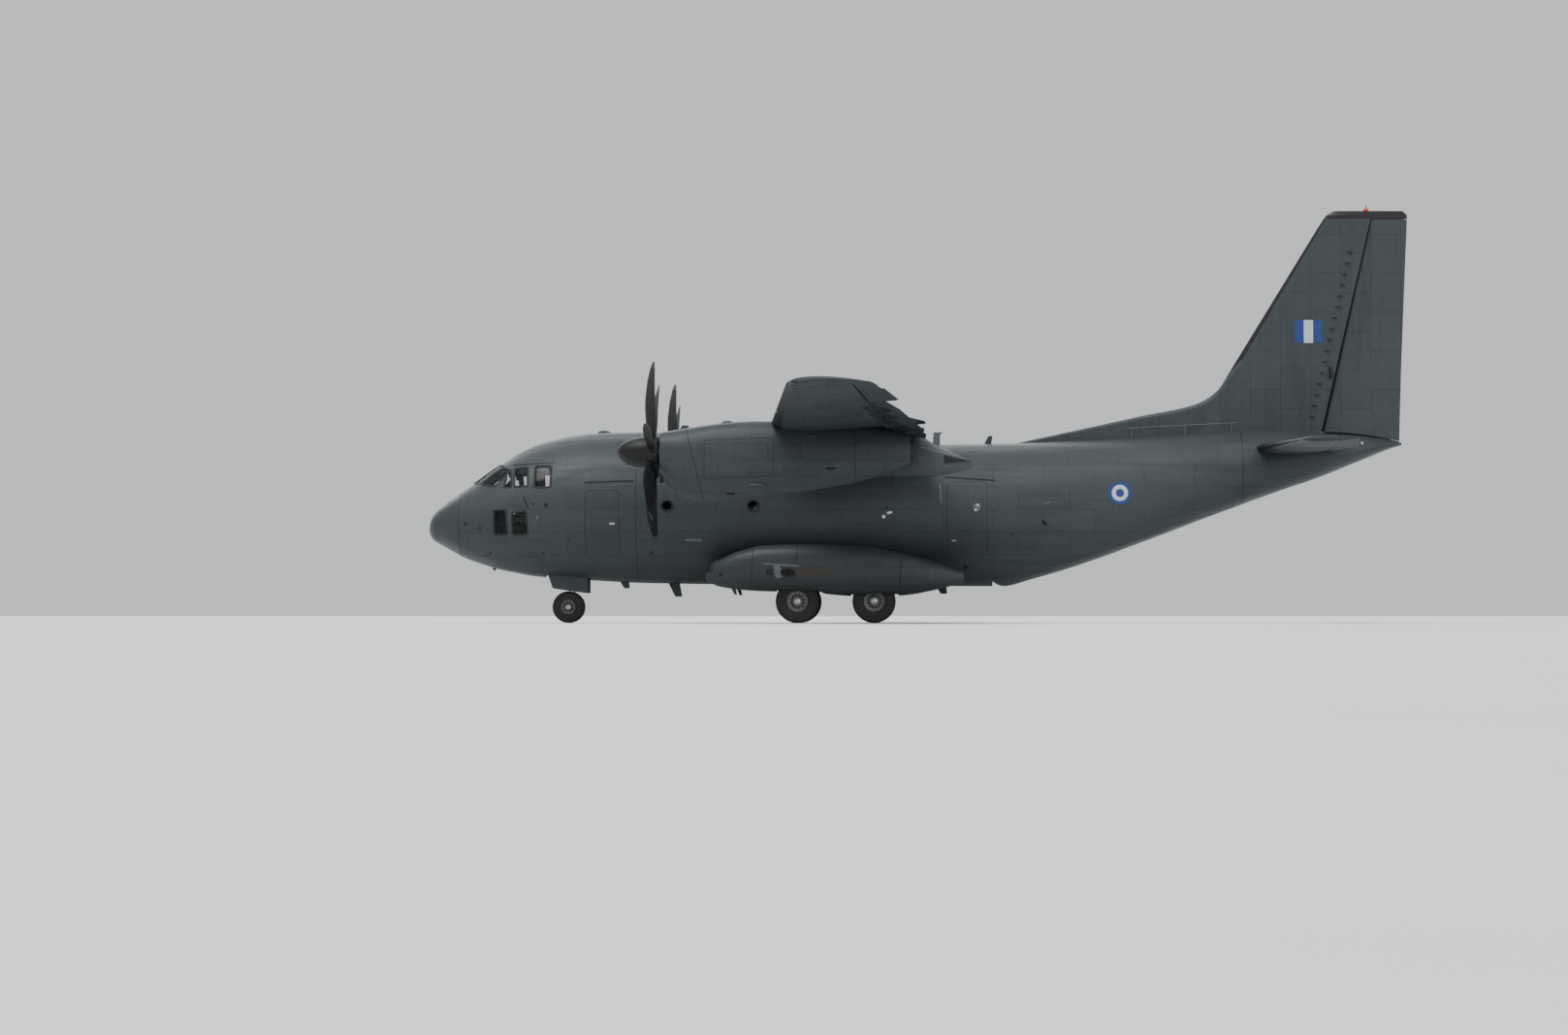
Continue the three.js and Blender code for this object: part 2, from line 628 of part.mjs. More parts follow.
function spinnerBody() {
  const { tip, end, r, wall } = SPINNER;
  const dome = (radius, nose) => {
    const points = [new THREE.Vector2(0, nose)];
    for (let k = 1; k <= 5; k++) {
      const share = k / 5;
      points.push(new THREE.Vector2(radius * Math.sqrt(1 - (1 - share) ** 2), nose + (HUB.x - 120 - nose) * share));
    }
    return points;
  };
  const profile = [
    ...dome(r, tip),
    new THREE.Vector2(r, end),
    new THREE.Vector2(r - wall, end),
    ...dome(r - wall, tip + wall).reverse(),
  ];
  const geometry = new THREE.LatheGeometry(profile, 20);
  geometry.rotateZ(-Math.PI / 2);
  const shell = solid(geometry.translate(0, NACELLE_Y, HUB.z));
  const slots = bladeAngles.map((angle) => {
    const out = new THREE.Vector3(0, 0, 1).applyAxisAngle(new THREE.Vector3(1, 0, 0), angle);
    const at = (d) => [HUB.x, NACELLE_Y + out.y * d, HUB.z + out.z * d];
    return cylinder(at(200), at(450), 115, 8);
  });
  return cut(shell, ...slots);
}

// Undercarriage

function podBody() {
  const sections = POD.map((row) => {
    const ring = [];
    for (let j = 0; j < POD_RING; j++) {
      const angle = (2 * Math.PI * j) / POD_RING;
      const y = (row.outer + row.inner) / 2 + ((row.outer - row.inner) / 2) * signedPower(Math.cos(angle), 2 / POD_SQUARE);
      const z = (row.top + row.bottom) / 2 + ((row.top - row.bottom) / 2) * signedPower(Math.sin(angle), 2 / POD_SQUARE);
      ring.push(new THREE.Vector3(row.x, y, z));
    }
    return ring;
  });
  const wells = MAIN_WHEELS.map((x) => box(x - WELL.half, x + WELL.half, WELL.inner, WELL.outer, -2000, WELL.top));
  const slot = box(MAIN_WHEELS[0], MAIN_WHEELS[1], WELL.inner, MAIN_LEG_Y + 130, -2000, WELL.top);
  return largest(cut(loft(sections), hullCutter, ...wells, slot));
}

function mainGearBody() {
  const axleZ = GROUND + MAIN_TYRE.r;
  const beam = box(
    MAIN_WHEELS[0] - 100,
    MAIN_WHEELS[1] + 100,
    MAIN_LEG_Y - GEAR_BEAM.half,
    MAIN_LEG_Y + GEAR_BEAM.half,
    GEAR_BEAM.bottom,
    WELL.top - GAP,
  );
  const legs = MAIN_WHEELS.flatMap((x) => [
    cylinder([x, MAIN_LEG_Y, axleZ - 70], [x, MAIN_LEG_Y, GEAR_BEAM.top], 80),
    cylinder([x, MAIN_LEG_Y, axleZ], [x, MAIN_TRACK + MAIN_TYRE.width / 2 - 20, axleZ], AXLE_R, 16),
  ]);
  return joined(beam, ...legs);
}

// A wheel's rim and tyre about a Y axle through the origin. The profiles are radius and offset along the axle.
function tyreGeometry({ r, width, bead }) {
  const w = width / 2;
  const depth = r - bead;
  const profile = [
    [bead, w * 0.8],
    [bead + depth * 0.5, w],
    [r - depth * 0.1, w * 0.76],
    [r, w * 0.35],
    [r, -w * 0.35],
    [r - depth * 0.1, -w * 0.76],
    [bead + depth * 0.5, -w],
    [bead, -w * 0.8],
    [bead, w * 0.8],
  ];
  return new THREE.LatheGeometry(profile.map(([a, b]) => new THREE.Vector2(a, b)).reverse(), WHEEL_SIDES);
}

function rimGeometry({ width, bead }, bore) {
  const w = width / 2;
  const rim = bead - GAP;
  const profile = [
    [bore, w * 0.75],
    [bore + 60, w * 0.7],
    [rim - 40, w * 0.3],
    [rim - 25, w * 0.78],
    [rim, w * 0.78],
    [rim, -w * 0.78],
    [rim - 25, -w * 0.78],
    [rim - 40, -w * 0.3],
    [bore, -w * 0.4],
    [bore, w * 0.75],
  ];
  return new THREE.LatheGeometry(profile.map(([a, b]) => new THREE.Vector2(a, b)).reverse(), WHEEL_SIDES);
}

function noseStrutBody() {
  const { x, legR } = NOSE_GEAR;
  const top = DECK.top - DECK.thick - GAP;
  return joined(
    cylinder([x, 0, -1350], [x, 0, top], legR),
    cylinder([x, 0, -1080], [NOSE_BAY.from + 120, 0, -560], 40, 12),
  );
}

function noseForkBody() {
  const { x, pistonR } = NOSE_GEAR;
  const axleZ = GROUND + NOSE_TYRE.r;
  const fork = joined(
    cylinder([x, 0, -1450], [x, 0, -1350 - GAP], 105),
    cylinder([x, 0, axleZ], [x, 0, -1450], pistonR),
    cylinder([x, -55, axleZ], [x, 55, axleZ], 75),
  );
  return fork.subtract(cylinder([x, -200, axleZ], [x, 200, axleZ], BORE_R - 8, 16));
}

function noseWheelsBody() {
  const { y } = NOSE_GEAR;
  const bore = 30;
  const rims = [-y, y].map((at) => {
    const geometry = rimGeometry(NOSE_TYRE, bore);
    if (at < 0) geometry.rotateZ(Math.PI);
    return solid(geometry.translate(0, at, 0));
  });
  return joined(cylinder([0, -y - 60, 0], [0, y + 60, 0], AXLE_R - 10, 16), ...rims);
}

// Cockpit fittings

function flightDeckBody() {
  const { from, to, top, thick } = DECK;
  const floor = box(from, to + 10, -1600, 1600, top - thick, top);
  const partition = cut(
    box(PARTITION.x, PARTITION.x + PARTITION.thick, -1800, 1800, CARGO_FLOOR.top - CARGO_FLOOR.thick, 2300),
    box(PARTITION.x - 50, PARTITION.x + 150, -PARTITION.doorHalf, PARTITION.doorHalf, top, PARTITION.doorTop),
  );
  const { x, y, width } = SEAT;
  const seatOutline = [
    [x - 230, top - 10],
    [x + 200, top - 10],
    [x + 200, top + 400],
    [x + 330, top + 1150],
    [x + 330, top + 1420],
    [x + 220, top + 1420],
    [x + 80, top + 500],
    [x - 280, top + 530],
    [x - 280, top + 400],
    [x - 120, top + 380],
  ];
  const seats = [-y, y].map((at) => sidePrism(seatOutline, at - width / 2, at + width / 2));
  const pedestal = sidePrism(
    [
      [1380, top - 10],
      [2200, top - 10],
      [2200, top + 560],
      [1700, top + 640],
      [1380, top + 900],
    ],
    -190,
    190,
  );
  const panel = sidePrism(
    [
      [1300, top + 640],
      [1440, top + 620],
      [1500, top + 1080],
      [1560, top + 1110],
      [1560, top + 1140],
      [1300, top + 1130],
    ],
    -880,
    880,
  );
  const feet = box(1300, 1420, -880, 880, top - 10, top + 660);
  const racks = box(RACKS.from, RACKS.to, -RACKS.half, RACKS.half, -1600, top - 10);
  return largest(joined(floor, partition, panel, feet, pedestal, racks, ...seats).intersect(hullInside));
}

function cargoFloorBody() {
  const { from, to, top, thick, half } = CARGO_FLOOR;
  const plate = box(from, to, -half, half, top - thick, top).intersect(hullInside);
  const noseClear = cylinder(
    [RAMP.hingeX, -2000, RAMP.hingeZ],
    [RAMP.hingeX, 2000, RAMP.hingeZ],
    RAMP.nose + CARGO_GAP,
    48,
  );
  return plate.subtract(noseClear);
}

// Assembly

const aircraft = new THREE.Group();
aircraft.position.set(-LENGTH / 2, 0, DATUM_HEIGHT);

function add(name, body, material, parent = aircraft) {
  const mesh = new THREE.Mesh(body.isBufferGeometry ? body : geometryOf(body), material);
  mesh.name = name;
  parent.add(mesh);
  return mesh;
}

const mirrored = new THREE.Group();
mirrored.scale.y = -1;
aircraft.add(mirrored);

// A starboard piece and its mirror image to port.
function addPair(name, body, material) {
  const geometry = body.isBufferGeometry ? body : geometryOf(body);
  add(name + "_right", geometry, material);
  add(name + "_left", geometry, material, mirrored);
}

// The same for a piece that is turned about a hinge line.
function addHingedPair(name, body, material, [a, b], angle) {
  const geometry = geometryOf(body);
  const axis = b.clone().sub(a).normalize();
  for (const [side, parent] of [["_right", aircraft], ["_left", mirrored]]) {
    const pivot = new THREE.Group();
    pivot.position.copy(a);
    pivot.quaternion.setFromAxisAngle(axis, angle);
    parent.add(pivot);
    add(name + side, geometry, material, pivot).position.copy(a).negate();
  }
}

function addWings() {
  const wingPiece = (from, to, grow) => aerofoilBody(WING, from, to, acrossWing, CAMBER, grow);
  const space = ({ from, to, room = 0 }) => controlCutter(WING, from, to + room, FLAP_NOSE, acrossWing, 700);
  const centreHalf = wingPiece(0, WING_JOINT, 0).subtract(space(INNER_FLAP));
  const otherHalf = solid(geometryOf(centreHalf).scale(1, -1, 1).setIndex(flipped(geometryOf(centreHalf))));
  const saddle = largest(cut(saddleBody(0), saddleBody(SADDLE_SKIN), hullCutter));
  const centre = largest(joined(centreHalf, otherHalf, saddle));
  const outer = largest(cut(wingPiece(WING_JOINT + GAP, 14350, 0), space(OUTER_FLAP), space(AILERON)));
  add("wing_centre", centre, GREY_PAINT);
  addPair("wing", outer, GREY_PAINT);

  for (const [name, place] of [["flap_inner", INNER_FLAP], ["flap_outer", OUTER_FLAP]]) {
    const { from, to } = place;
    const body = controlBody(WING, from, to, FLAP_NOSE, acrossWing, CAMBER);
    const line = hingeLine(WING, from, to, FLAP_NOSE, acrossWing, CAMBER, FLAP_DROP);
    addHingedPair(name, body, GREY_PAINT, line, FLAP_REST);
  }
  const { from, to } = AILERON;
  addPair("aileron", controlBody(WING, from, to, FLAP_NOSE, acrossWing, CAMBER), GREY_PAINT);
}

// Triangle order turned round, for a mirrored copy.
function flipped(geometry) {
  const index = geometry.index.array.slice();
  for (let i = 0; i < index.length; i += 3) [index[i + 1], index[i + 2]] = [index[i + 2], index[i + 1]];
  return new THREE.BufferAttribute(index, 1);
}

function saddleBody(inset) {
  const last = SADDLE.length - 1;
  return loft(
    SADDLE.map((row, i) => {
      const x = row.x + (i === 0 ? inset : i === last ? -inset : 0);
      const ring = [];
      for (let j = 0; j < RING; j++) {
        const angle = (2 * Math.PI * j) / RING;
        const height = Math.sin(angle) >= 0 ? row.top - inset - SADDLE_BASE : 150 + inset;
        const y = (row.half - inset) * signedPower(Math.cos(angle), 2 / SADDLE_SQUARE);
        const z = SADDLE_BASE + height * signedPower(Math.sin(angle), 2 / SADDLE_SQUARE);
        ring.push(new THREE.Vector3(x, y, z));
      }
      return ring;
    }),
  );
}

function addFuselage() {
  const wingCutter = aerofoilBody(WING, 0, WING_JOINT, acrossWing, CAMBER, 2 * GAP);
  const otherCutter = solid(geometryOf(wingCutter).scale(1, -1, 1).setIndex(flipped(geometryOf(wingCutter))));
  const shell = (from, to, hollowFrom, hollowTo) =>
    fuselageBody(from, to).subtract(fuselageBody(hollowFrom, hollowTo, WALL));
  const across = (outline) => sidePrism(outline, -2500, 2500);
  const ahead = (outline) => frontPrism(outline, 700, 2400);
  const mirrorOutline = (outline) => outline.map(([y, z]) => [-y, z]).reverse();

  add("radome", fuselageBody(0, RADOME_END - GAP), GREY_PAINT);

  const front = shell(RADOME_END, CABIN_START - GAP, RADOME_END + FRONT_BULKHEAD, CABIN_START + 10);
  const windows = [
    ...SIDE_WINDOWS.map(across),
    ...FRONT_WINDOWS.map(ahead),
    ...FRONT_WINDOWS.map((outline) => ahead(mirrorOutline(outline))),
  ];
  const crewDoor = front.intersect(sideBox(CREW_DOOR, -2000, 0));
  const noseBay = box(NOSE_BAY.from, NOSE_BAY.to, -NOSE_BAY.half, NOSE_BAY.half, -1500, -700);
  add(
    "forward_fuselage",
    largest(cut(front, ...windows, sideBox(CREW_DOOR, -2000, 0, DOOR_GAP), noseBay)),
    GREY_PAINT,
  );
  add("crew_door", crewDoor, GREY_PAINT);

  const centre = shell(CABIN_START, CABIN_END - GAP, CABIN_START - 10, CABIN_END + 10);
  const ports = PORTHOLES.map((x) => cylinder([x, -2500, PORTHOLE.z], [x, 2500, PORTHOLE.z], PORTHOLE.r, 24));
  add("centre_fuselage", largest(cut(centre, wingCutter, otherCutter, ...ports)), GREY_PAINT);

  const rear = shell(CABIN_END, REAR_END - GAP, CABIN_END - 10, REAR_END - REAR_BULKHEAD);
  const paraSpace = sideBox(PARA_DOOR, -2500, 2500, GAP);
  add(
    "rear_fuselage",
    largest(cut(rear, paraSpace, rampCutter(), cargoDoorCutter())),
    GREY_PAINT,
  );
  addPair("para_door", rear.intersect(sideBox(PARA_DOOR, 0, 2000)), GREY_PAINT);
  add("cargo_ramp", rampSolid(), GREY_PAINT);
  add("cargo_door", cargoDoorSolid(), GREY_PAINT);
  add("cargo_floor", cargoFloorBody(), LINING);
  add("flight_deck", flightDeckBody(), LINING);

  const { from, to, bottom, top, thick } = GLASS;
  const band = cut(
    fuselageBody(from, to, WALL + 1),
    fuselageBody(from - 10, to + 10, WALL + 1 + thick),
    box(from - 20, to + 20, -2000, 2000, -3000, bottom),
    box(from - 20, to + 20, -2000, 2000, top, 3000),
  );
  add("cockpit_glazing", largest(band), CLEAR);
}

function addTail() {
  const fullSpan = TAILPLANE.at(-1).span;
  const share = ELEVATOR.nose;
  const half = aerofoilBody(TAILPLANE, 0, fullSpan, acrossWing, 0);
  const space = controlCutter(TAILPLANE, ELEVATOR.from, ELEVATOR.to, share, acrossWing, 400);
  const behind = planPrism([[20900, -1000], [23000, -1000], [23000, 1000], [20900, 1000]], 1000, 2500);
  const box0 = box(20550, 23000, -10, 1000, 1000, 2500);
  const hollow = cut(
    aerofoilBody(TAILPLANE, 0, 5900, acrossWing, 0, -TAIL_SKIN),
    controlCutter(TAILPLANE, 0, 5900, share - 0.05, acrossWing, 400),
    box0,
  );
  const hatch = box(19500, 20200, -10, 200, 1000, TAILPLANE[0].z);
  const right = cut(half, space, behind, hollow, hatch);
  const left = solid(geometryOf(right).scale(1, -1, 1).setIndex(flipped(geometryOf(right))));
  add("tailplane", largest(joined(right, left)), GREY_PAINT);
  addPair("elevator", controlBody(TAILPLANE, ELEVATOR.from, ELEVATOR.to, share, acrossWing, 0), GREY_PAINT);

  const slotHalf = cut(aerofoilBody(TAILPLANE, 0, 2000, acrossWing, 0, 2 * GAP), behind);
  const slotOther = solid(geometryOf(slotHalf).scale(1, -1, 1).setIndex(flipped(geometryOf(slotHalf))));
  const cone = fuselageBody(REAR_END, 22560).subtract(fuselageBody(REAR_END - 10, 21800, WALL));
  add("tail_cone", largest(cut(cone, slotHalf, slotOther)), GREY_PAINT);

  const finHollow = aerofoilBody(FIN, FIN[0].span, 6800, upFin, 0, -TAIL_SKIN).subtract(rudderCutter(TAIL_SKIN + 40));
  const fin = aerofoilBody(FIN, FIN[0].span, FIN.at(-1).span, upFin, 0).subtract(finHollow);
  const dorsal = loft(
    DORSAL.map(({ x, top, half: w }) => [
      new THREE.Vector3(x, w, 1500),
      new THREE.Vector3(x, w, top - w),
      new THREE.Vector3(x, w * 0.3, top),
      new THREE.Vector3(x, -w * 0.3, top),
      new THREE.Vector3(x, -w, top - w),
      new THREE.Vector3(x, -w, 1500),
    ]),
  );
  add("fin", largest(cut(joined(fin, dorsal), hullCutter, rudderCutter(0))), GREY_PAINT);
  add("rudder", rudderBody(), GREY_PAINT);
}

// Rudder: its nose follows a raked hinge line and its foot follows the top of the tail cone.
function rudderHingeX(z) {
  const [[x0, z0], [x1, z1]] = [RUDDER.hingeLow, RUDDER.hingeHigh];
  return x0 + ((x1 - x0) * (z - z0)) / (z1 - z0);
}

function rudderBody() {
  const share = (z) => {
    const row = rowAt(FIN, z);
    return (rudderHingeX(z) - row.le) / (row.te - row.le);
  };
  const rows = [RUDDER.bottom, 3630, RUDDER.top].map((z) => rowAt(FIN, z));
  const whole = loft(rows.map((row) => controlRing(row, share(row.span), upFin, 0)));
  const foot = FUSELAGE.filter(({ x }) => x > 20000).map(({ x, top }) => [x, top + RUDDER.clear]);
  return cut(whole, sidePrism([[20000, 1500], [23000, 1500], [23000, 1850], ...foot.reverse(), [20000, 2240]], -600, 600));
}

function rudderCutter(forward) {
  const z0 = 1500;
  const z1 = RUDDER.top + 12;
  return sidePrism(
    [
      [rudderHingeX(z0) - forward, z0],
      [23500, z0],
      [23500, z1],
      [rudderHingeX(z1) - forward, z1],
    ],
    -600,
    600,
  );
}

function addPower() {
  const cutters = [
    aerofoilBody(WING, 0, WING_JOINT + 1, acrossWing, CAMBER, 2 * GAP),
    aerofoilBody(WING, WING_JOINT, 7000, acrossWing, CAMBER, 2 * GAP),
  ];
  addPair("nacelle", nacelleShell(cutters), GREY_PAINT);
  const { from, to, r } = ENGINE;
  addPair("engine", cylinder([from, NACELLE_Y, HUB.z], [to, NACELLE_Y, HUB.z], r, 24), IRON);
  addPair("propeller", propellerBody(), BLACK_PAINT);
  addPair("spinner", spinnerBody(), BLACK_PAINT);
}

function addWheels() {
  addPair("gear_pod", podBody(), DARK_PAINT);
  addPair("main_gear", mainGearBody(), STEEL);
  const axleZ = GROUND + MAIN_TYRE.r;
  const names = ["front", "rear"];
  const rim = rimGeometry(MAIN_TYRE, BORE_R);
  const tyre = tyreGeometry(MAIN_TYRE);
  MAIN_WHEELS.forEach((x, i) => {
    for (const [side, parent] of [["_right", aircraft], ["_left", mirrored]]) {
      add("main_wheel_" + names[i] + side, rim, STEEL, parent).position.set(x, MAIN_TRACK, axleZ);
      add("main_tyre_" + names[i] + side, tyre, RUBBER, parent).position.set(x, MAIN_TRACK, axleZ);
    }
  });

  const noseZ = GROUND + NOSE_TYRE.r;
  add("nose_strut", noseStrutBody(), STEEL);
  add("nose_fork", noseForkBody(), STEEL);
  add("nose_wheels", noseWheelsBody(), STEEL).position.set(NOSE_GEAR.x, 0, noseZ);
  const noseTyre = tyreGeometry(NOSE_TYRE);
  for (const [side, y] of [["_right", NOSE_GEAR.y], ["_left", -NOSE_GEAR.y]]) {
    add("nose_tyre" + side, noseTyre, RUBBER).position.set(NOSE_GEAR.x, y, noseZ);
  }
  const { y, thick, outline } = NOSE_DOOR;
  addPair("nose_gear_door", largest(sidePrism(outline, y, y + thick).subtract(hullCutter)), GREY_PAINT);
}

addFuselage();
addWings();
addTail();
addPower();
addWheels();

export default aircraft;
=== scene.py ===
"""Looks for a twin-engined military transport plane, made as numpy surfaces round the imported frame.

Lengths are metres. Shapes are worked out by station: x aft of the nose tip, y to starboard and z up from the nose
datum. make_piece() moves them to the frame's own origin on the ground under the aircraft's middle.
"""

import math

import bmesh
import bpy
import numpy as np
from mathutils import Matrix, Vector
from mathutils.geometry import delaunay_2d_cdt


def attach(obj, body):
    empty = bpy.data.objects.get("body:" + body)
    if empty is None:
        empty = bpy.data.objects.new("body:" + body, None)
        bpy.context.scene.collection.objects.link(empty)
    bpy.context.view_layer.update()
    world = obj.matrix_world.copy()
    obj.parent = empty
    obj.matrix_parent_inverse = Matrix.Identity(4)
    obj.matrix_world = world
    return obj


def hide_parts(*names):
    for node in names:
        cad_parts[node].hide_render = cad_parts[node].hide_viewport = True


bl_info = {
    "name": "Military Transport Plane",
    "version": (1, 0, 0),
    "blender": (4, 5, 0),
    "location": "View3D > Sidebar > Transport",
    "description": "Skins, glass, propellers, undercarriage and paint for a transport plane's frame",
    "category": "Object",
}

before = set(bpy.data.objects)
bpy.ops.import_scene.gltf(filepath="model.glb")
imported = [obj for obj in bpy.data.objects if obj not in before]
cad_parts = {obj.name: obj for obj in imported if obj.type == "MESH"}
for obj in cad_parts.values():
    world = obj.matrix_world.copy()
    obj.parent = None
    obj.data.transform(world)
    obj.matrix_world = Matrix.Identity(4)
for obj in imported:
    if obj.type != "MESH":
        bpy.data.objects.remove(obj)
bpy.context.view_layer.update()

NOSE_X = 11.35  # the frame's origin is this far aft of the nose tip
DATUM = 2.23  # and this far below the nose datum
PI = math.pi
SIDES = (("left", -1), ("right", 1))
AFT, STARBOARD, UP = np.eye(3)


def rect(x0, z0, x1, z1):
    """Corners of a rectangle."""
    return ((x0, z0), (x1, z0), (x1, z1), (x0, z1))


# Fuselage sections: station, top, widest height, bottom, half width, and how square the lower half is
FUSELAGE = np.array((
    (0.25, 0.45, 0, -0.41, 0.52, 2), (0.5, 0.645, 0.03, -0.545, 0.74, 2), (0.75, 0.8, 0.06, -0.685, 0.9, 2),
    (1, 0.975, 0.09, -0.79, 1.03, 2), (1.24, 1.14, 0.12, -0.87, 1.14, 2), (1.48, 1.33, 0.15, -0.945, 1.24, 2),
    (1.74, 1.49, 0.19, -1.015, 1.33, 2), (1.98, 1.64, 0.22, -1.06, 1.405, 2), (2.23, 1.79, 0.25, -1.11, 1.47, 2),
    (2.49, 1.905, 0.29, -1.15, 1.53, 2), (2.76, 1.985, 0.32, -1.175, 1.585, 2), (3.28, 2.11, 0.37, -1.21, 1.68, 2),
    (3.9, 2.18, 0.41, -1.25, 1.745, 2), (4.9, 2.205, 0.43, -1.3, 1.775, 2), (6.5, 2.205, 0.43, -1.33, 1.775, 2),
    (8.2, 2.2, 0.43, -1.345, 1.775, 2), (10.2, 2.08, 0.43, -1.36, 1.775, 2), (11.9, 1.91, 0.43, -1.375, 1.775, 2),
    (13.33, 1.93, 0.42, -1.38, 1.77, 2.05), (14, 1.95, 0.425, -1.215, 1.76, 2.3),
    (14.7, 1.98, 0.44, -1.015, 1.73, 2.7), (15.5, 2.02, 0.5, -0.75, 1.665, 3.2),
    (16.3, 2.07, 0.65, -0.455, 1.575, 3.4), (17.2, 2.13, 0.86, -0.115, 1.445, 3.4),
    (18, 2.18, 1.06, 0.19, 1.31, 3.4), (18.8, 2.22, 1.26, 0.49, 1.16, 3.2), (19.8, 2.21, 1.47, 0.85, 0.95, 2.8),
    (20.7, 2.17, 1.62, 1.16, 0.75, 2.5), (21.4, 2.13, 1.74, 1.445, 0.56, 2.2), (21.9, 2.07, 1.82, 1.645, 0.41, 2),
    (22.3, 2, 1.88, 1.805, 0.25, 2), (22.56, 1.945, 1.915, 1.885, 0.09, 2),
))
NOSE_LENGTH = 0.25  # ahead of the first section the radome closes by a power law
NOSE_TIP_Z = -0.09
NOSE_POWER = 0.4
WALL = 0.09
SKIN_SCALE = 1.7  # metres of skin for one radian round the fuselage, for even triangles

# Windows seen from the side as x, z and from ahead as y, z
SIDE_WINDOWS = (
    ((1.835, 0.885), (2.01, 0.89), (1.99, 1.265), (1.885, 1.215)),
    ((2.08, 0.9), (2.4, 0.91), (2.38, 1.36), (2.06, 1.33)),
    ((2.56, 0.88), (2.93, 0.88), (2.94, 1.37), (2.56, 1.385)),
    ((1.62, -0.2), (1.93, -0.2), (1.89, 0.38), (1.61, 0.36)),
    ((2.05, -0.21), (2.4, -0.2), (2.37, 0.34), (2.04, 0.3)),
)
FRONT_WINDOWS = (
    ((0.045, 1.01), (0.6, 0.985), (0.57, 1.4), (0.045, 1.44)),
    ((0.68, 0.96), (1.03, 0.93), (0.93, 1.29), (0.64, 1.37)),
)
PORTHOLES = ((5.62, 0.45), (7.59, 0.45))
PORTHOLE_R = 0.13
CREW_DOOR = rect(3.75, -0.7, 4.51, 0.8)
CREW_DOOR_SWING = math.radians(118)  # the airstair's treads lie level when it is this far open
PARA_DOOR = rect(12.02, -0.7, 12.93, 1)
NOSE_BAY = rect(2.7, -0.395, 3.76, 0.395)
REAR_OPENING = ((13.08, -1.23), (15.76, -1.23), (18.61, -0.81), (18.61, 0.81), (15.76, 1.23), (13.08, 1.23))
RAMP = {"x": 13.36, "z": -1.04, "nose": 0.335, "half": 1.22, "toe_x": 15.75, "toe_z": -0.47}
CARGO_DOOR = np.array(((15.77, -0.485, 1.17), (18.6, 0.57, 0.8)))  # front and back: station, height, half width

# Wing: span station, leading edge, trailing edge, chord plane height and thickness ratio
WING = np.array((
    (0, 8.1, 11.5, 2.21, 0.15), (5, 8.1, 11.5, 2.21, 0.15), (13.95, 8.646, 10.399, 2.6, 0.12),
    (14.23, 8.74, 10.33, 2.612, 0.1), (14.35, 9, 10.21, 2.618, 0.05),
))
CAMBER = 0.02
HINGE_SHARE = 0.745
COVE_GAP = 0.015
LIP_THICK = 0.003
BRACKET_THICK = (0, 0.025, 0)
FLAPS = (("inner", 1.9, 4.13, 2), ("outer", 5.36, 10.065, 3))  # start and end along the span, number of brackets
FLAP_BRACKET = ((-0.4, 0.2), (-0.03, -0.015), (0, -0.03), (0.03, 0), (-0.19, 0.2))
FLAP_ARM = ((-0.03, 0), (0, -0.03), (0.05, 0), (0.3, 0.15), (0.3, 0.185), (0.06, 0.185))
AILERON = (10.15, 13.9)
FLAP_DROP = 0.25
FLAP_REST = math.radians(18)
SADDLE = np.array((
    (7.3, 2.14, 1.18), (7.9, 2.33, 1.5), (8.6, 2.52, 1.625), (10, 2.52, 1.635), (10.8, 2.37, 1.63),
    (11.3, 2.2, 1.62), (11.75, 1.91, 1.57), (12.1, 1.78, 1.53), (12.7, 1.6, 1.43),
))
SADDLE_BASE = 1.15

# Fin by height and tailplane by span, in the wing's columns
FIN = np.array((
    (2, 17.61, 22.51, 0, 0.1), (3.63, 18.61, 22.56, 0, 0.1), (7.05, 20.708, 22.7, 0, 0.1),
    (7.22, 20.83, 22.7, 0, 0.08), (7.32, 21, 22.6, 0, 0.04),
))
FIN_CAP = 7.132
RUDDER = {"bottom": 2.2, "top": 7.12, "clear": 0.026, "low": (20.69, 2.22), "high": (21.84, 7.13)}
DORSAL = np.array((
    (13.6, 1.93, 0.04), (15.17, 2.27, 0.07), (16.49, 2.56, 0.095), (17.81, 2.85, 0.12), (18.25, 3.11, 0.14),
    (18.62, 3.6, 0.15), (18.87, 3.92, 0.1),
))
TAILPLANE = np.array((
    (0, 19.02, 21.56, 1.79, 0.12), (6, 19.72, 20.95, 1.79, 0.11), (6.13, 19.8, 20.92, 1.79, 0.09),
    (6.2, 19.96, 20.85, 1.79, 0.05),
))
ELEVATOR = (0.79, 5.9)
ELEVATOR_SHARE = 0.66

# Nacelle sections: station, top, middle height, bottom and half width
NACELLE_Y = 4.75
NACELLE = np.array((
    (5.62, 2, 1.48, 1.01, 0.43), (5.78, 2.025, 1.42, 0.85, 0.465), (6.05, 2.065, 1.38, 0.64, 0.5),
    (6.42, 2.125, 1.36, 0.47, 0.525), (7.1, 2.215, 1.35, 0.47, 0.54), (7.7, 2.25, 1.35, 0.53, 0.54),
    (8.8, 2.24, 1.37, 0.68, 0.52), (9.83, 2.19, 1.42, 0.85, 0.475), (10.6, 2.1, 1.52, 1.07, 0.4),
    (11.17, 1.9, 1.59, 1.3, 0.29),
))
FACE_X = 5.652  # the plate behind the nacelle's lip
HUB_X, HUB_Z = 5.445, 1.562
BLADE_PHASE = math.radians(14)
